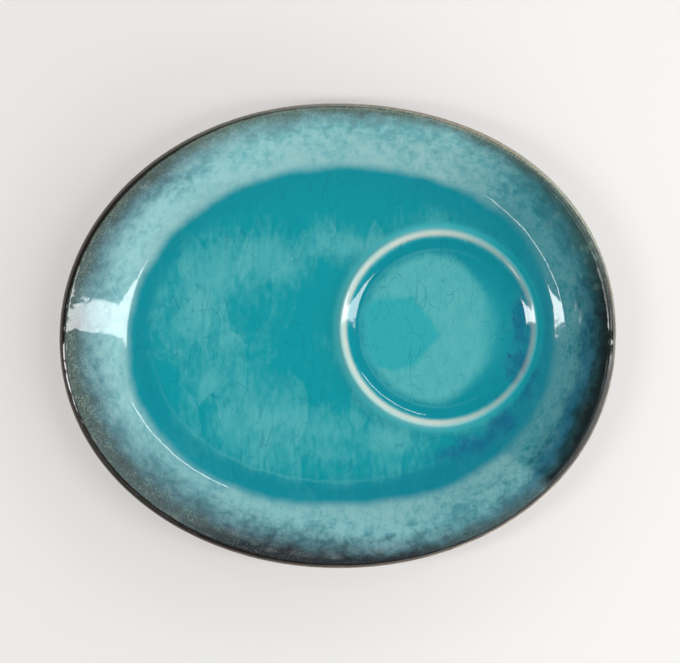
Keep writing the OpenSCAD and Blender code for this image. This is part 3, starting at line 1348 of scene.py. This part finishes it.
@dataclass(frozen=True)
class TopGlaze:
    """The glaze on the upper side: one look all over, so that the coats' edges don't show.

    Numbers left in its methods are weights and offsets in sums of shares, and the ends of ramps over them.
    """

    form: DishForm
    palette: GlazePalette = GlazePalette()
    cover: Cover = Cover()
    heights: Relief = Relief()
    zones: tuple = RIM_ZONES
    milky_patches: tuple = MILKY_PATCHES
    cobalt_spots: tuple = COBALT_SPOTS
    roughness: float = 0.05
    dulling: float = 0.36
    refraction: float = 1.6
    pool_wander: float = 5 * MM
    rim_radius: float = 125 * MM
    rim_stretch: float = 1.7
    band_wander: tuple = (9 * MM, 5 * MM, 4 * MM)
    hatch_squeeze: tuple = (1.0, 1.0, 1.3)
    wisp_squeeze: tuple = (1.0, 0.5, 1.0)
    pool_squeeze: tuple = (1.0, 0.4, 1.0)
    crackle_squeeze: tuple = (1.0, 0.36, 1.0)
    vein_squeeze: tuple = (1.0, 2.0, 1.0)
    spot_gap: float = 6 * MM
    spot_wander: float = 5 * MM
    spot_share: float = 0.42
    sheet_size: float = 11 * MM
    # Painted highlight line in the well: its depth from the lip and its wander
    highlight_line_depth: float = 43 * MM
    highlight_line_wander: float = 6 * MM
    crookedness: float = 5 * MM
    crackle_size: float = 4.2 * MM
    crackle_width: float = 0.035
    vein_gap: float = 5 * MM
    vein_width: float = 0.04
    cup_milk_reach: float = 33.5 * MM
    cup_milk_left: float = 8 * MM
    cup_milk_wander: float = 8 * MM
    cup_fade: float = 7 * MM
    cup_fade_right: float = 9 * MM
    wedge_shift: float = 2.5 * MM
    wedge_half_width: float = 18 * MM
    wedge_slant: float = 14 * MM
    wedge_wander: float = 9 * MM
    crest_shift: tuple = (0.05 * MM, 0.25 * MM)
    crest_full: float = 47.8 * MM
    crest_reach: float = 50.8 * MM
    crest_painted_light_reach: float = 1.4 * MM
    crest_fall_power: float = 1.5
    halo_and_painted_light_fall_power: float = 2.0
    lip_wander: float = 1.4 * MM
    upper_line_shift: float = 1.3 * MM
    lower_line_shift: float = 1.1 * MM
    bare_lip_w: float = 1.3 * MM

    def material(self, name: str, layers: Sequence[Layer]) -> bpy.types.Material:
        """Makes the material with the layers that a piece needs.

        Args:
            name: The material's name.
            layers: The parts of the look.

        Returns:
            The material.
        """
        finish, graph, place = new_finish(name)
        x, y, _ = graph.parts(place)
        flat = graph.vector(x, y)
        depth = graph.attribute("depth")
        colour: Operand = self.palette.pool
        roughness: Operand = self.roughness
        relief = Mottle.SKIN.level(flat) * self.heights.skin
        if Layer.POOL in layers:
            cobalt = self._cobalt(flat)
            colour = self._pool(flat, depth, cobalt)
            if Layer.RING in layers:
                colour = self._cup(flat, colour, cobalt)
            colour = self._crackle(flat, colour, cobalt)
            if Layer.RING in layers:
                colour = self._crest(flat, colour)
        if Layer.RIM in layers:
            reading = self._read_zones(x, y)
            rim, rim_relief = self._rim(reading, flat, depth)
            stir = Mottle.POOL_EDGE.swing(flat) * self.pool_wander
            pooled = Fade.POOLED.share(depth + stir - reading.pool_inset)
            colour = graph.blend(rim, colour, pooled)
            relief = relief + rim_relief * (1.0 - pooled)
        if Layer.LIP in layers:
            turned = flat.unit()
            colour = self._lip(reading, flat, depth, colour)
            swell = Mottle.LIP_SWELL.swing(flat) * Fade.LIP_SWELL.share(depth)
            relief = relief + swell * self.heights.lip_swell
            dull = (Toward.DULL_LIP.share(turned) - Toward.GLOSSY_LIP.share(turned)) * self.dulling
            roughness = dull * Fade.LIP_DULL.share(depth) + self.roughness
        graph.surface(colour, roughness, relief, self.refraction)
        return finish

    def _read_zones(self, x: Flow, y: Flow) -> RimReading:
        """Reads the zones at a point's bearing, with ramps that run once round the dish.

        Args:
            x: The point's place along the dish.
            y: Its place across it.

        Returns:
            The tones and numbers there.
        """
        turn = (y.function("ARCTAN2", x) / TURN + 1.0).function("FRACT")
        tones = [self._by_bearing(turn, attrgetter(f"side.value.{part}"))
                 for part in ("lip", "edge", "fringe", "body")]
        numbers = x.graph.parts(self._by_bearing(turn, RimZone.numbers))
        return RimReading(*tones, *numbers)

    def _by_bearing(self, turn: Flow, pick: Callable) -> Flow:
        """A ramp through what is picked from each zone, read at a share of a turn."""
        stops = [(zone.bearing / 360, pick(zone)) for zone in self.zones]
        return turn.graph.flow("ShaderNodeValToRGB", {"stops": stops}, {0: turn}, "Color")

    def _rim(self, reading: RimReading, flat: Flow, depth: Flow) -> tuple[Flow, Flow]:
        """The rim's colour and relief; its clouds are read on a cylinder, so that they run along the rim.

        Args:
            reading: The zones' tones and sizes.
            flat: Where the point is, seen from above.
            depth: How far in from the lip.

        Returns:
            The colour, and the relief in millimetres.
        """
        graph, heights, turned = flat.graph, self.heights, flat.unit()
        around = turned * self.rim_radius + graph.vector(0.0, 0.0, depth * self.rim_stretch)
        point = RimPoint(flat, turned, depth, Mottle.RIM_CLOUD.swing(around), Mottle.RIM_PUFF.swing(around),
                         Mottle.RIM_GRAIN.swing(flat))
        wander = self.band_wander
        moved = depth + point.cloud * wander[0] + point.puff * wander[1] + point.grain * wander[2]
        reach = moved / reading.dark_depth
        body = self._milky_rim(reading, point, self._strands(point, around))
        colour = graph.blend(body, self._dark_band(reading, point, reach), graph.ramp(reach, 1.8, 0.3))
        colour = self._rim_marks(point, reach, colour)
        rough = Fade.RIM_RELIEF.share(depth) + 0.15
        fine = Mottle.RIM_SWELL.swing(flat) * heights.rim_swell + point.grain * heights.rim_grain
        return colour, point.cloud * heights.rim_cloud + fine * rough

    def _strands(self, point: RimPoint, around: Flow) -> Flow:
        """The fine strands of milk on the rim, stronger on some sides.

        Args:
            point: The point on the rim.
            around: The same point on the cylinder.

        Returns:
            The flow of their swing.
        """
        hatch = Mottle.RIM_HATCH.swing(around * self.hatch_squeeze)
        wisp = Mottle.RIM_WISP.swing(point.flat * self.wisp_squeeze)
        return (hatch * (Toward.HATCHED_RIM.share(point.turned) * 1.5 + 0.9)
                + wisp * (Toward.WISPY_RIM.share(point.turned) * 1.3 + 0.9))

    def _milky_rim(self, reading: RimReading, point: RimPoint, strands: Flow) -> Flow:
        """The rim's colour beyond its dark band, milky towards the well and bluer towards the lip.

        Args:
            reading: The zones' tones and sizes.
            point: The point on the rim.
            strands: The swing of the fine strands there.

        Returns:
            The colour.
        """
        graph, cloud, puff = point.flat.graph, point.cloud, point.puff
        near = Fade.RIM_STRANDS.share(point.depth) * 0.5 + 0.5
        milk = Fade.RIM_MILK.share(point.depth) * 0.5 + 0.22
        milk = milk + (cloud * 1.5 + puff * 1.9 + strands) * near
        pale = graph.blend(reading.body, self.palette.pale, reading.milk)
        body = graph.blend(reading.body, pale, graph.ramp(milk, -0.25, 1.1))
        blue = graph.ramp(puff + cloud * 0.5, 0.04, -0.26) * Fade.RIM_BLUE.share(point.depth)
        return graph.blend(body, reading.fringe, blue * self.cover.rim_blue)

    def _dark_band(self, reading: RimReading, point: RimPoint, reach: Flow) -> Flow:
        """The colour of the dark band by the lip, with its light flecks and its soot.

        Args:
            reading: The zones' tones and sizes.
            point: The point on the rim.
            reach: How far through the band the point lies, 1 at its inner edge.

        Returns:
            The colour.
        """
        graph, tones, cover = point.flat.graph, self.palette, self.cover
        puff, grain = point.puff, point.grain
        inner = graph.ramp(reach, 0.3, 1.1)
        thinning = inner * cover.rim_thinning
        band = graph.blend(reading.edge * (1.0 + puff * 0.8), reading.fringe, inner * cover.rim_fringe)
        gritty = Toward.GRITTY_RIM.share(point.turned) + graph.ramp(reading.milk, 0.5, 0.9) * 0.4
        light = graph.ramp(grain + puff * 0.4, 0.0, 0.2) * (cover.rim_flecks - thinning) * gritty
        band = graph.blend(band, tones.fleck, light)
        soot = graph.ramp(grain - puff * 0.3, -0.02, -0.2) * (cover.rim_soot - thinning)
        return graph.blend(band, tones.soot, soot)

    def _rim_marks(self, point: RimPoint, reach: Flow, colour: Flow) -> Flow:
        """Adds the olive spots and the cobalt stain along the dark band's inner edge, each on its own side.

        Args:
            point: The point on the rim.
            reach: How far through the band the point lies, 1 at its inner edge.
            colour: The colour so far.

        Returns:
            The new colour.
        """
        graph, tones, cover, turned = point.flat.graph, self.palette, self.cover, point.turned
        astray = point.flat + graph.vector(point.puff, point.cloud) * self.spot_wander
        spots = graph.dots(astray, self.spot_gap, self.spot_share)
        spots = spots * Toward.SPOTTED_RIM.share(turned) * graph.ramp(point.puff, -0.12, 0.14)
        colour = graph.blend(colour, tones.olive, spots * Fade.RIM_SPOTS.share(point.depth) * cover.rim_spots)
        stain = graph.ramp((reach - 1.0).function("ABSOLUTE"), 0.34, 0.0) * Toward.STAINED_RIM.share(turned)
        return graph.blend(colour, tones.cobalt, stain * cover.rim_stain)

    def _pool(self, flat: Flow, depth: Flow, cobalt: Flow) -> Flow:
        """The colour of the glaze that lies in the well, before its crackle, with painted light on its top
        edge and a painted highlight line on its lower left.

        Args:
            flat: Where the point is, seen from above.
            depth: How far in from the lip.
            cobalt: How strongly cobalt shows.

        Returns:
            The colour.
        """
        graph, tones, cover, turned = flat.graph, self.palette, self.cover, flat.unit()
        cloud = Mottle.POOL_CLOUD.swing(flat)
        grain = Mottle.POOL_GRAIN.swing(flat * self.pool_squeeze)
        sheets = graph.cells(self._bent(flat), self.sheet_size) - 0.5
        x, y, _ = graph.parts(flat)
        milk = total(patch.share(x, y) for patch in self.milky_patches)
        milk = milk + cloud * 1.1 + sheets * 0.3 + grain * 0.8
        share = graph.ramp(milk, -0.2, 0.72) * (Fade.POOL_MILK.share(depth) * 0.8 + 0.2)
        bank = graph.blend(tones.pool_edge, tones.cobalt, Toward.COBALT_BANK.share(turned) * cover.cobalt_bank)
        # Painted light: the well's edge is painted lighter on the top side.
        bank = graph.blend(bank, tones.painted_light, Toward.PAINTED_LIGHT_BANK.share(turned) * cover.painted_light_bank)
        colour = graph.blend(bank, tones.pool, Fade.POOL_DEEP.share(depth))
        colour = graph.blend(colour, tones.milky, share)
        # Painted highlight: a pale line along the well's floor near its edge on the lower left, painted in the
        # milky tone.
        off_highlight = (depth + cloud * self.highlight_line_wander - self.highlight_line_depth).function("ABSOLUTE")
        line = Fade.PAINTED_HIGHLIGHT_LINE.share(off_highlight) * Toward.PAINTED_HIGHLIGHT_BANK.share(turned)
        colour = graph.blend(colour, tones.milky, line * cover.painted_highlight_bank)
        return graph.blend(colour, tones.cobalt, cobalt)

    def _bent(self, flat: Flow) -> Flow:
        """Coordinates in which the crackle's cells are tall and a little crooked."""
        crooked = flat.graph.vector(Mottle.CROOK_ALONG.swing(flat), Mottle.CROOK_ACROSS.swing(flat))
        return flat * self.crackle_squeeze + crooked * self.crookedness

    def _crackle(self, flat: Flow, colour: Flow, cobalt: Flow) -> Flow:
        """Adds the fine crackle, which shows more in some places, and the dark crackle in the cobalt.

        Args:
            flat: Where the point is, seen from above.
            colour: The colour so far.
            cobalt: How strongly cobalt shows.

        Returns:
            The new colour.
        """
        graph, tones, bent = flat.graph, self.palette, self._bent(flat)
        shown = graph.ramp(Mottle.CRACKLE_SHOWN.level(flat), 0.34, 0.6)
        fine = graph.cracks(bent, self.crackle_size, self.crackle_width) * shown
        colour = graph.blend(colour, tones.crackle, fine * self.cover.crackle)
        broken = graph.ramp(Mottle.VEINS_BROKEN.level(flat), 0.4, 0.56)
        veins = graph.cracks(bent * self.vein_squeeze, self.vein_gap, self.vein_width) * broken
        veins = veins * graph.ramp(cobalt, 0.1, 0.5)
        return graph.blend(colour, tones.cobalt_crackle, veins * self.cover.cobalt_crackle)

    def _cobalt(self, flat: Flow) -> Flow:
        """How strongly cobalt shows, at the right of the cup ring and by the lower right edge of the well.

        Args:
            flat: Where the point is, seen from above.

        Returns:
            A share from 0 to the most that cobalt covers.
        """
        x, y, _ = flat.graph.parts(flat)
        share = total(spot.share(x, y) for spot in self.cobalt_spots)
        return flat.graph.ramp(share + Mottle.COBALT_STIR.swing(flat) * 1.2, 0.2, 1.0) * self.cover.cobalt

    def _cup(self, flat: Flow, colour: Flow, cobalt: Flow) -> Flow:
        """Adds the cup's milky floor, with a clearer wedge at its left, and the deep channel round it.

        Args:
            flat: Where the point is, seen from above.
            colour: The colour so far.
            cobalt: How strongly cobalt shows.

        Returns:
            The new colour.
        """
        graph, form, tones, cover = flat.graph, self.form, self.palette, self.cover
        off = flat - (form.ring_x, form.ring_y, 0.0)
        radius, left = off.length(), self._leftness(off)
        across, along, _ = graph.parts(off)
        stir, fine = Mottle.CUP_STIR.swing(flat), Mottle.CUP_GRAIN.swing(flat * self.wisp_squeeze)
        colour = graph.blend(colour, tones.channel, Fade.CHANNEL.share(radius) * (1.0 - cobalt))
        colour = graph.blend(colour, tones.cup_shade, Fade.CUP_TONE.share(radius) * cover.cup_tone)
        milky_to = left * self.cup_milk_left + self.cup_milk_reach
        fading = Toward.FADING_CUP.share(off.unit()) * self.cup_fade_right + self.cup_fade
        floor = graph.ramp(radius + stir * self.cup_milk_wander, milky_to, milky_to - fading)
        high = (along + self.wedge_shift).function("ABSOLUTE") / self.wedge_half_width
        wedge = Fade.CUP_BRINK.share(across + high * self.wedge_slant + stir * self.wedge_wander)
        wedge = wedge * graph.ramp(high + stir * 0.5, 1.1, 0.9)
        colour = graph.blend(colour, tones.cup_floor, floor * (cover.cup_milk + stir * 0.8 + fine * 0.5))
        colour = graph.blend(colour, tones.cup_shade, floor * wedge * cover.cup_wedge)
        edge = Fade.CUP_EDGE.share((radius - form.cup_floor_r).function("ABSOLUTE"))
        return graph.blend(colour, tones.cup_floor, edge * left * (cover.cup_edge + stir * 0.4))

    @staticmethod
    def _leftness(off: Flow) -> Flow:
        """How far a point lies round to the left of the cup ring, from 0 at its right side to 1."""
        return off.graph.ramp(off.unit().dot((-1.0, 0.0, 0.0)), -0.85, 0.15)

    def _crest(self, flat: Flow, colour: Flow) -> Flow:
        """Adds the pale band where the glaze broke over the cup ring, sharp inside and fading outside, and
        painted light: a lighter teal over the ring's own shadow, and the band and its halo painted paler on
        the left.

        Args:
            flat: Where the point is, seen from above.
            colour: The colour so far.

        Returns:
            The new colour.
        """
        graph, tones, cover = flat.graph, self.palette, self.cover
        off = flat - (self.form.ring_x + self.crest_shift[0], self.form.ring_y + self.crest_shift[1], 0.0)
        radius, left = off.length(), self._leftness(off)
        stir = Mottle.CREST_STIR.swing(flat)
        # Painted light: a lighter teal round the ring's outer foot, stronger on the left, laid over the shadow
        # that the ring casts.
        painted_light = Fade.PAINTED_LIGHT_OUTSIDE.share(radius) * Fade.PAINTED_LIGHT_INSIDE.share(radius)
        colour = graph.blend(colour, tones.painted_light, painted_light * (left * cover.ring_painted_light_left + cover.ring_painted_light))
        # Partly the real pale halo of glaze outside the crest, partly painted light over the ring's shadow,
        # mostly on the left.
        halo_and_painted_light = Fade.HALO_AND_PAINTED_LIGHT_INSIDE.share(radius) * Fade.HALO_AND_PAINTED_LIGHT_OUTSIDE.share(radius) ** self.halo_and_painted_light_fall_power
        colour = graph.blend(colour, tones.halo_and_painted_light, halo_and_painted_light * left * cover.halo_and_painted_light)
        # The pale band is glaze; it is painted paler and wider on the left, where the key lamp lights the
        # ring's inner flank, as painted light.
        fall = graph.ramp(radius, left * self.crest_painted_light_reach + self.crest_reach, self.crest_full)
        band = Fade.CREST_INSIDE.share(radius) * fall ** self.crest_fall_power
        pale = left * cover.crest_painted_light_left + cover.crest + stir * 0.4
        return graph.blend(colour, tones.crest, band * pale)

    def _lip(self, reading: RimReading, flat: Flow, depth: Flow, colour: Flow) -> Flow:
        """Adds the bands along the lip: tan or dark outside, then a dark line, then a thin speckled one, kept
        to the top side, where it is partly a painted glint.

        Args:
            reading: The zones' tones and sizes.
            flat: Where the point is, seen from above.
            depth: How far in from the lip.
            colour: The colour so far.

        Returns:
            The new colour.
        """
        graph, tones, turned = flat.graph, self.palette, flat.unit()
        stir, grain = Mottle.LIP_STIR.swing(flat), Mottle.LIP_GRAIN.swing(flat)
        outer = depth + stir * self.lip_wander
        at = (outer - Toward.UPPER_LIP_LINE.share(turned) * self.upper_line_shift
              - Toward.LOWER_LIP_LINE.share(turned) * self.lower_line_shift)
        # Light specks of glaze, kept to the top of the lip, where they also stand for a painted glint.
        specks_and_glint = Fade.LIP_SPECKS_AND_GLINT.share(at) * graph.ramp(grain, -0.12, 0.12)
        specks_and_glint = specks_and_glint * Toward.SPECKS_AND_GLINT_LIP.share(turned)
        colour = graph.blend(colour, tones.fleck, specks_and_glint * self.cover.lip_specks_and_glint)
        line = Fade.LIP_LINE.share(at) * (1.0 - Toward.FAINT_LIP_LINE.share(turned) * self.cover.lip_line_gap)
        colour = graph.blend(colour, tones.lip_line, line)
        broken = Fade.LIP_EDGE.share(outer - Toward.BARE_LIP.share(turned) * self.bare_lip_w)
        return graph.blend(colour, reading.lip * (1.0 + grain * 1.5), broken)


@dataclass(frozen=True)
class UnderGlaze:
    """The thin glaze on the underside."""

    base: Tone = Tone(38, 44, 44)
    light: Tone = Tone(92, 92, 80)
    brown: Tone = Tone(82, 70, 54)
    roughness: float = 0.22
    relief: float = 0.05

    def material(self, name: str) -> bpy.types.Material:
        """Makes the material.

        Args:
            name: The material's name.

        Returns:
            The material.
        """
        finish, graph, place = new_finish(name)
        broad, fine = Mottle.UNDER_BROAD.level(place), Mottle.UNDER_FINE.level(place)
        colour = graph.blend(self.base, self.brown, graph.ramp(broad, 0.45, 0.7) * 0.7)
        colour = graph.blend(colour, self.light, graph.ramp(fine, 0.58, 0.75) * 0.5)
        graph.surface(colour, self.roughness, fine * self.relief)
        return finish


@dataclass(frozen=True)
class BareClay:
    """Unglazed stoneware with iron specks."""

    base: Tone = Tone(150, 128, 102)
    dark: Tone = Tone(112, 92, 70)
    speck: Tone = Tone(58, 44, 34)
    roughness: float = 0.85
    relief: float = 0.12

    def material(self, name: str) -> bpy.types.Material:
        """Makes the material.

        Args:
            name: The material's name.

        Returns:
            The material.
        """
        finish, graph, place = new_finish(name)
        broad, grain = Mottle.CLAY_BROAD.level(place), Mottle.CLAY_GRAIN.level(place)
        colour = graph.blend(self.base, self.dark, graph.ramp(broad + grain * 0.3, 0.5, 0.85))
        colour = graph.blend(colour, self.speck, graph.ramp(grain, 0.68, 0.74) * 0.8)
        graph.surface(colour, self.roughness, grain * self.relief)
        return finish


# The dish's pieces

class ServingDish:
    """The dish: its coats of glaze over the clay, the cup ring and the foot."""

    def __init__(self) -> None:
        """Reads the frame and prepares the wrapping tree and the finishes."""
        self.form = DishForm.from_frame()
        self.lines = SurfaceLines(self.form)
        self.wrapper = RoundTheDish(self.form)
        self.surface = SeamlessSurface(self.form, self.lines, self.wrapper)
        self.clay = BareClay().material("bare_clay")
        self.under = UnderGlaze().material("underside_glaze")

    def build(self) -> list[bpy.types.Object]:
        """Builds every piece, from the cup's floor outward and round to the foot.

        Returns:
            The pieces.
        """
        lines, top = self.lines, TopGlaze(self.form)
        rise, clay = lines.rise, lines.clay_rise
        climb, start, end = lines.climb, lines.lip_start, lines.lip_end
        well = top.material("well_glaze", (Layer.POOL, Layer.RING, Layer.RIM))
        ring = top.material("ring_glaze", (Layer.POOL, Layer.RING))
        rim = top.material("rim_glaze", (Layer.POOL, Layer.RIM, Layer.LIP))
        lip = top.material("lip_glaze", (Layer.RIM, Layer.LIP))
        coats = (
            (Coat("cup_well_coat", "well_glaze", "cup_well_glaze",
                  lines.disc[::-1] + lines.flank[-1:],
                  lines.clay_flank[-1:] + lines.clay_disc, closed=False), well),
            (Coat("cup_ring_coat", "ring_glaze", "cup_ring_glaze",
                  lines.flank[::-1], lines.clay_flank), ring),
            (Coat("well_coat", "well_glaze", "well_glaze",
                  lines.flank[:1] + lines.floor[::-1] + rise[:climb + 1],
                  clay[climb::-1] + lines.clay_floor + lines.clay_flank[:1]), well),
            (Coat("rim_coat", "rim_glaze", "rim_glaze",
                  rise[climb:start + 1], clay[start:climb - 1:-1]), rim),
            (Coat("lip_coat", "lip_glaze", "lip_glaze",
                  rise[start:end + 1], clay[end:start - 1:-1]), lip),
            (Coat("underside_coat", "underside_glaze", "underside_glaze",
                  rise[end:],
                  [Station(self.form.foot_in, self.form.foot_h), *clay[:end - 1:-1]]), self.under),
        )
        pieces = [coat.build(self.wrapper, self.surface, finish) for coat, finish in coats]
        pieces.append(self._recess())
        pieces.append(self._foot())
        for name in ("stoneware_body", "cup_ring"):
            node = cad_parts[name]
            node.data.materials.clear()
            node.data.materials.append(self.clay)
        return pieces

    def _recess(self) -> bpy.types.Object:
        """Builds the glaze inside the foot ring.

        Returns:
            The piece.
        """
        form, steps = self.form, self.form.recess_steps
        outer = [Station(form.recess_in, form.glaze_base_z, i / steps, line=0) for i in range(steps + 1)]
        behind = [Station(form.recess_in, form.foot_h, i / steps) for i in range(steps, -1, -1)]
        coat = Coat("recess_coat", "underside_glaze", "recess_glaze", outer, behind,
                    closed=False, seamless=False)
        return coat.build(self.wrapper, self.surface, self.under)

    def _foot(self) -> bpy.types.Object:
        """Builds the bare foot ring, its lower edges rubbed round.

        Returns:
            The piece.
        """
        form = self.form
        round_r, steps = form.rubbed_r, form.rubbed_steps
        outline = [(form.foot_in, form.foot_h)]
        for middle, first in ((form.foot_in + round_r, 180), (form.recess_in - round_r, 270)):
            for i in range(steps + 1):
                turn = math.radians(first) + TURN / 4 * i / steps
                outline.append((middle + round_r * math.cos(turn), round_r + round_r * math.sin(turn)))
        outline.append((form.recess_in, form.foot_h))
        stations = [Station(inset, height, line=0) for inset, height in outline]
        coat = Coat("foot_ring_clay", "bare_clay", "foot_ring", stations, [], seamless=False)
        return coat.build(self.wrapper, self.surface, self.clay)


# The table, the lights and the camera

@dataclass(frozen=True)
class Table:
    """The pale table top; its darker left tone, painted shade, turns to its lighter right one, painted light
    from the right side, within a given half width of the middle, in metres.
    """

    half: float = 3.0
    left: Tone = Tone(234, 232, 230)
    right: Tone = Tone(246, 244, 242)
    painted_light_half: float = 0.17
    shown_share: float = 0.38

    def build(self) -> bpy.types.Object:
        """Builds the table top, which shows its pale colour with painted shade at the left and painted light
        at the right, and keeps a faint real shadow.

        Returns:
            The table top.
        """
        h = self.half
        mesh = bpy.data.meshes.new("table_top")
        mesh.from_pydata([(-h, -h, 0), (h, -h, 0), (h, h, 0), (-h, h, 0)], [], [(0, 1, 2, 3)])
        table = bpy.data.objects.new("table_top", mesh)
        bpy.context.scene.collection.objects.link(table)
        finish, graph, place = new_finish("table_top")
        x, _, _ = graph.parts(place)
        # Painted shade and light: the table is darker at the left and lighter at the right.
        colour = graph.blend(self.left, self.right, graph.ramp(x, -self.painted_light_half, self.painted_light_half))
        matt = graph.flow("ShaderNodeBsdfDiffuse", {}, {"Color": colour})
        shown = graph.flow("ShaderNodeEmission", {}, {"Color": colour, "Strength": 1.0})
        seen = graph.flow("ShaderNodeLightPath", {}, {}, "Is Camera Ray")
        mixed = graph.flow("ShaderNodeMixShader", {}, {0: seen * self.shown_share, 1: matt, 2: shown})
        graph.node("ShaderNodeOutputMaterial", {}, {"Surface": mixed})
        mesh.materials.append(finish)
        return table


@dataclass(frozen=True)
class Panel:
    """A flat lamp that hangs level and faces down; its middle line runs between two points, in metres."""

    name: str
    start: tuple[float, float]
    end: tuple[float, float]
    wide: float
    radiance: float
    height: float = 1.0

    def build(self) -> bpy.types.Object:
        """Builds the lamp, whose face shows the radiance all over.

        Returns:
            The lamp.
        """
        run = Vector((self.end[0] - self.start[0], self.end[1] - self.start[1], 0.0))
        lamp = bpy.data.lights.new(self.name, "AREA")
        lamp.shape = "RECTANGLE"
        lamp.size, lamp.size_y = run.length, self.wide
        lamp.energy = self.radiance * math.pi * lamp.size * lamp.size_y
        holder = bpy.data.objects.new(self.name, lamp)
        holder.location = ((self.start[0] + self.end[0]) / 2, (self.start[1] + self.end[1]) / 2, self.height)
        holder.rotation_euler = (0.0, 0.0, math.atan2(run.y, run.x))
        bpy.context.scene.collection.objects.link(holder)
        return holder


@dataclass(frozen=True)
class Studio:
    """Everything round the dish: table, lamps, the room's dark ceiling and bright sides, and the camera."""

    ceiling: float = 0.12
    sides: float = 2.12
    sides_swing: float = 0.6
    ceiling_starts: tuple = (0.44, 0.56)
    dark_corner: tuple = (-0.56, -0.79, 0.25)
    corner_sharpness: float = 5.0
    corner_darkness: float = 0.85
    camera_x: float = 1.12 * MM
    camera_y: float = 2.12 * MM
    view_width: float = 341.1 * MM
    view_z: float = 25 * MM
    away: float = 1.5
    lamps: tuple = (
        Panel("key_panel", (0.30, -0.095), (1.6, -0.20), 0.174, 8.2),
        Panel("left_panel", (-0.40, -0.09), (-1.11, -0.145), 0.15, 12.5),
        Panel("upper_strip", (0.60, 0.31), (0.17, 0.493), 0.045, 10.0),
        Panel("lower_strip", (-1.05, -0.20), (-0.53, -0.90), 0.045, 12.0),
    )

    def build(self) -> None:
        """Builds the table, lamps, room and camera."""
        scene = bpy.context.scene
        scene.view_settings.view_transform = "Standard"
        Table().build()
        for lamp in self.lamps:
            lamp.build()
        room = bpy.data.worlds.new("room")
        scene.world = room
        room.use_nodes = True
        graph = Graph(room.node_tree)
        direction = graph.flow("ShaderNodeTexCoord", {}, {}, "Object")
        right, _, up = graph.parts(direction)
        corner = ((direction.dot(self.dark_corner) - 1.0) * self.corner_sharpness).function("EXPONENT")
        swing = (right * self.sides_swing + 1.0) * (1.0 - corner * self.corner_darkness)
        low, high = self.ceiling_starts
        level = graph.ramp(up, high, low) * swing * self.sides + self.ceiling
        glow = graph.flow("ShaderNodeBackground", {}, {"Color": (1.0, 1.0, 1.0), "Strength": level})
        graph.node("ShaderNodeOutputWorld", {}, {"Surface": glow})
        camera = bpy.data.cameras.new("overhead")
        camera.lens = camera.sensor_width * self.away / self.view_width
        holder = bpy.data.objects.new("overhead", camera)
        holder.location = (self.camera_x, self.camera_y, self.view_z + self.away)
        scene.collection.objects.link(holder)
        scene.camera = holder


def main() -> None:
    """Builds the dish, then the table, the lamps and the camera."""
    logging.basicConfig(level=logging.INFO, format="%(name)s: %(message)s")
    ServingDish().build()
    Studio().build()


if __name__ == "__main__":
    main()
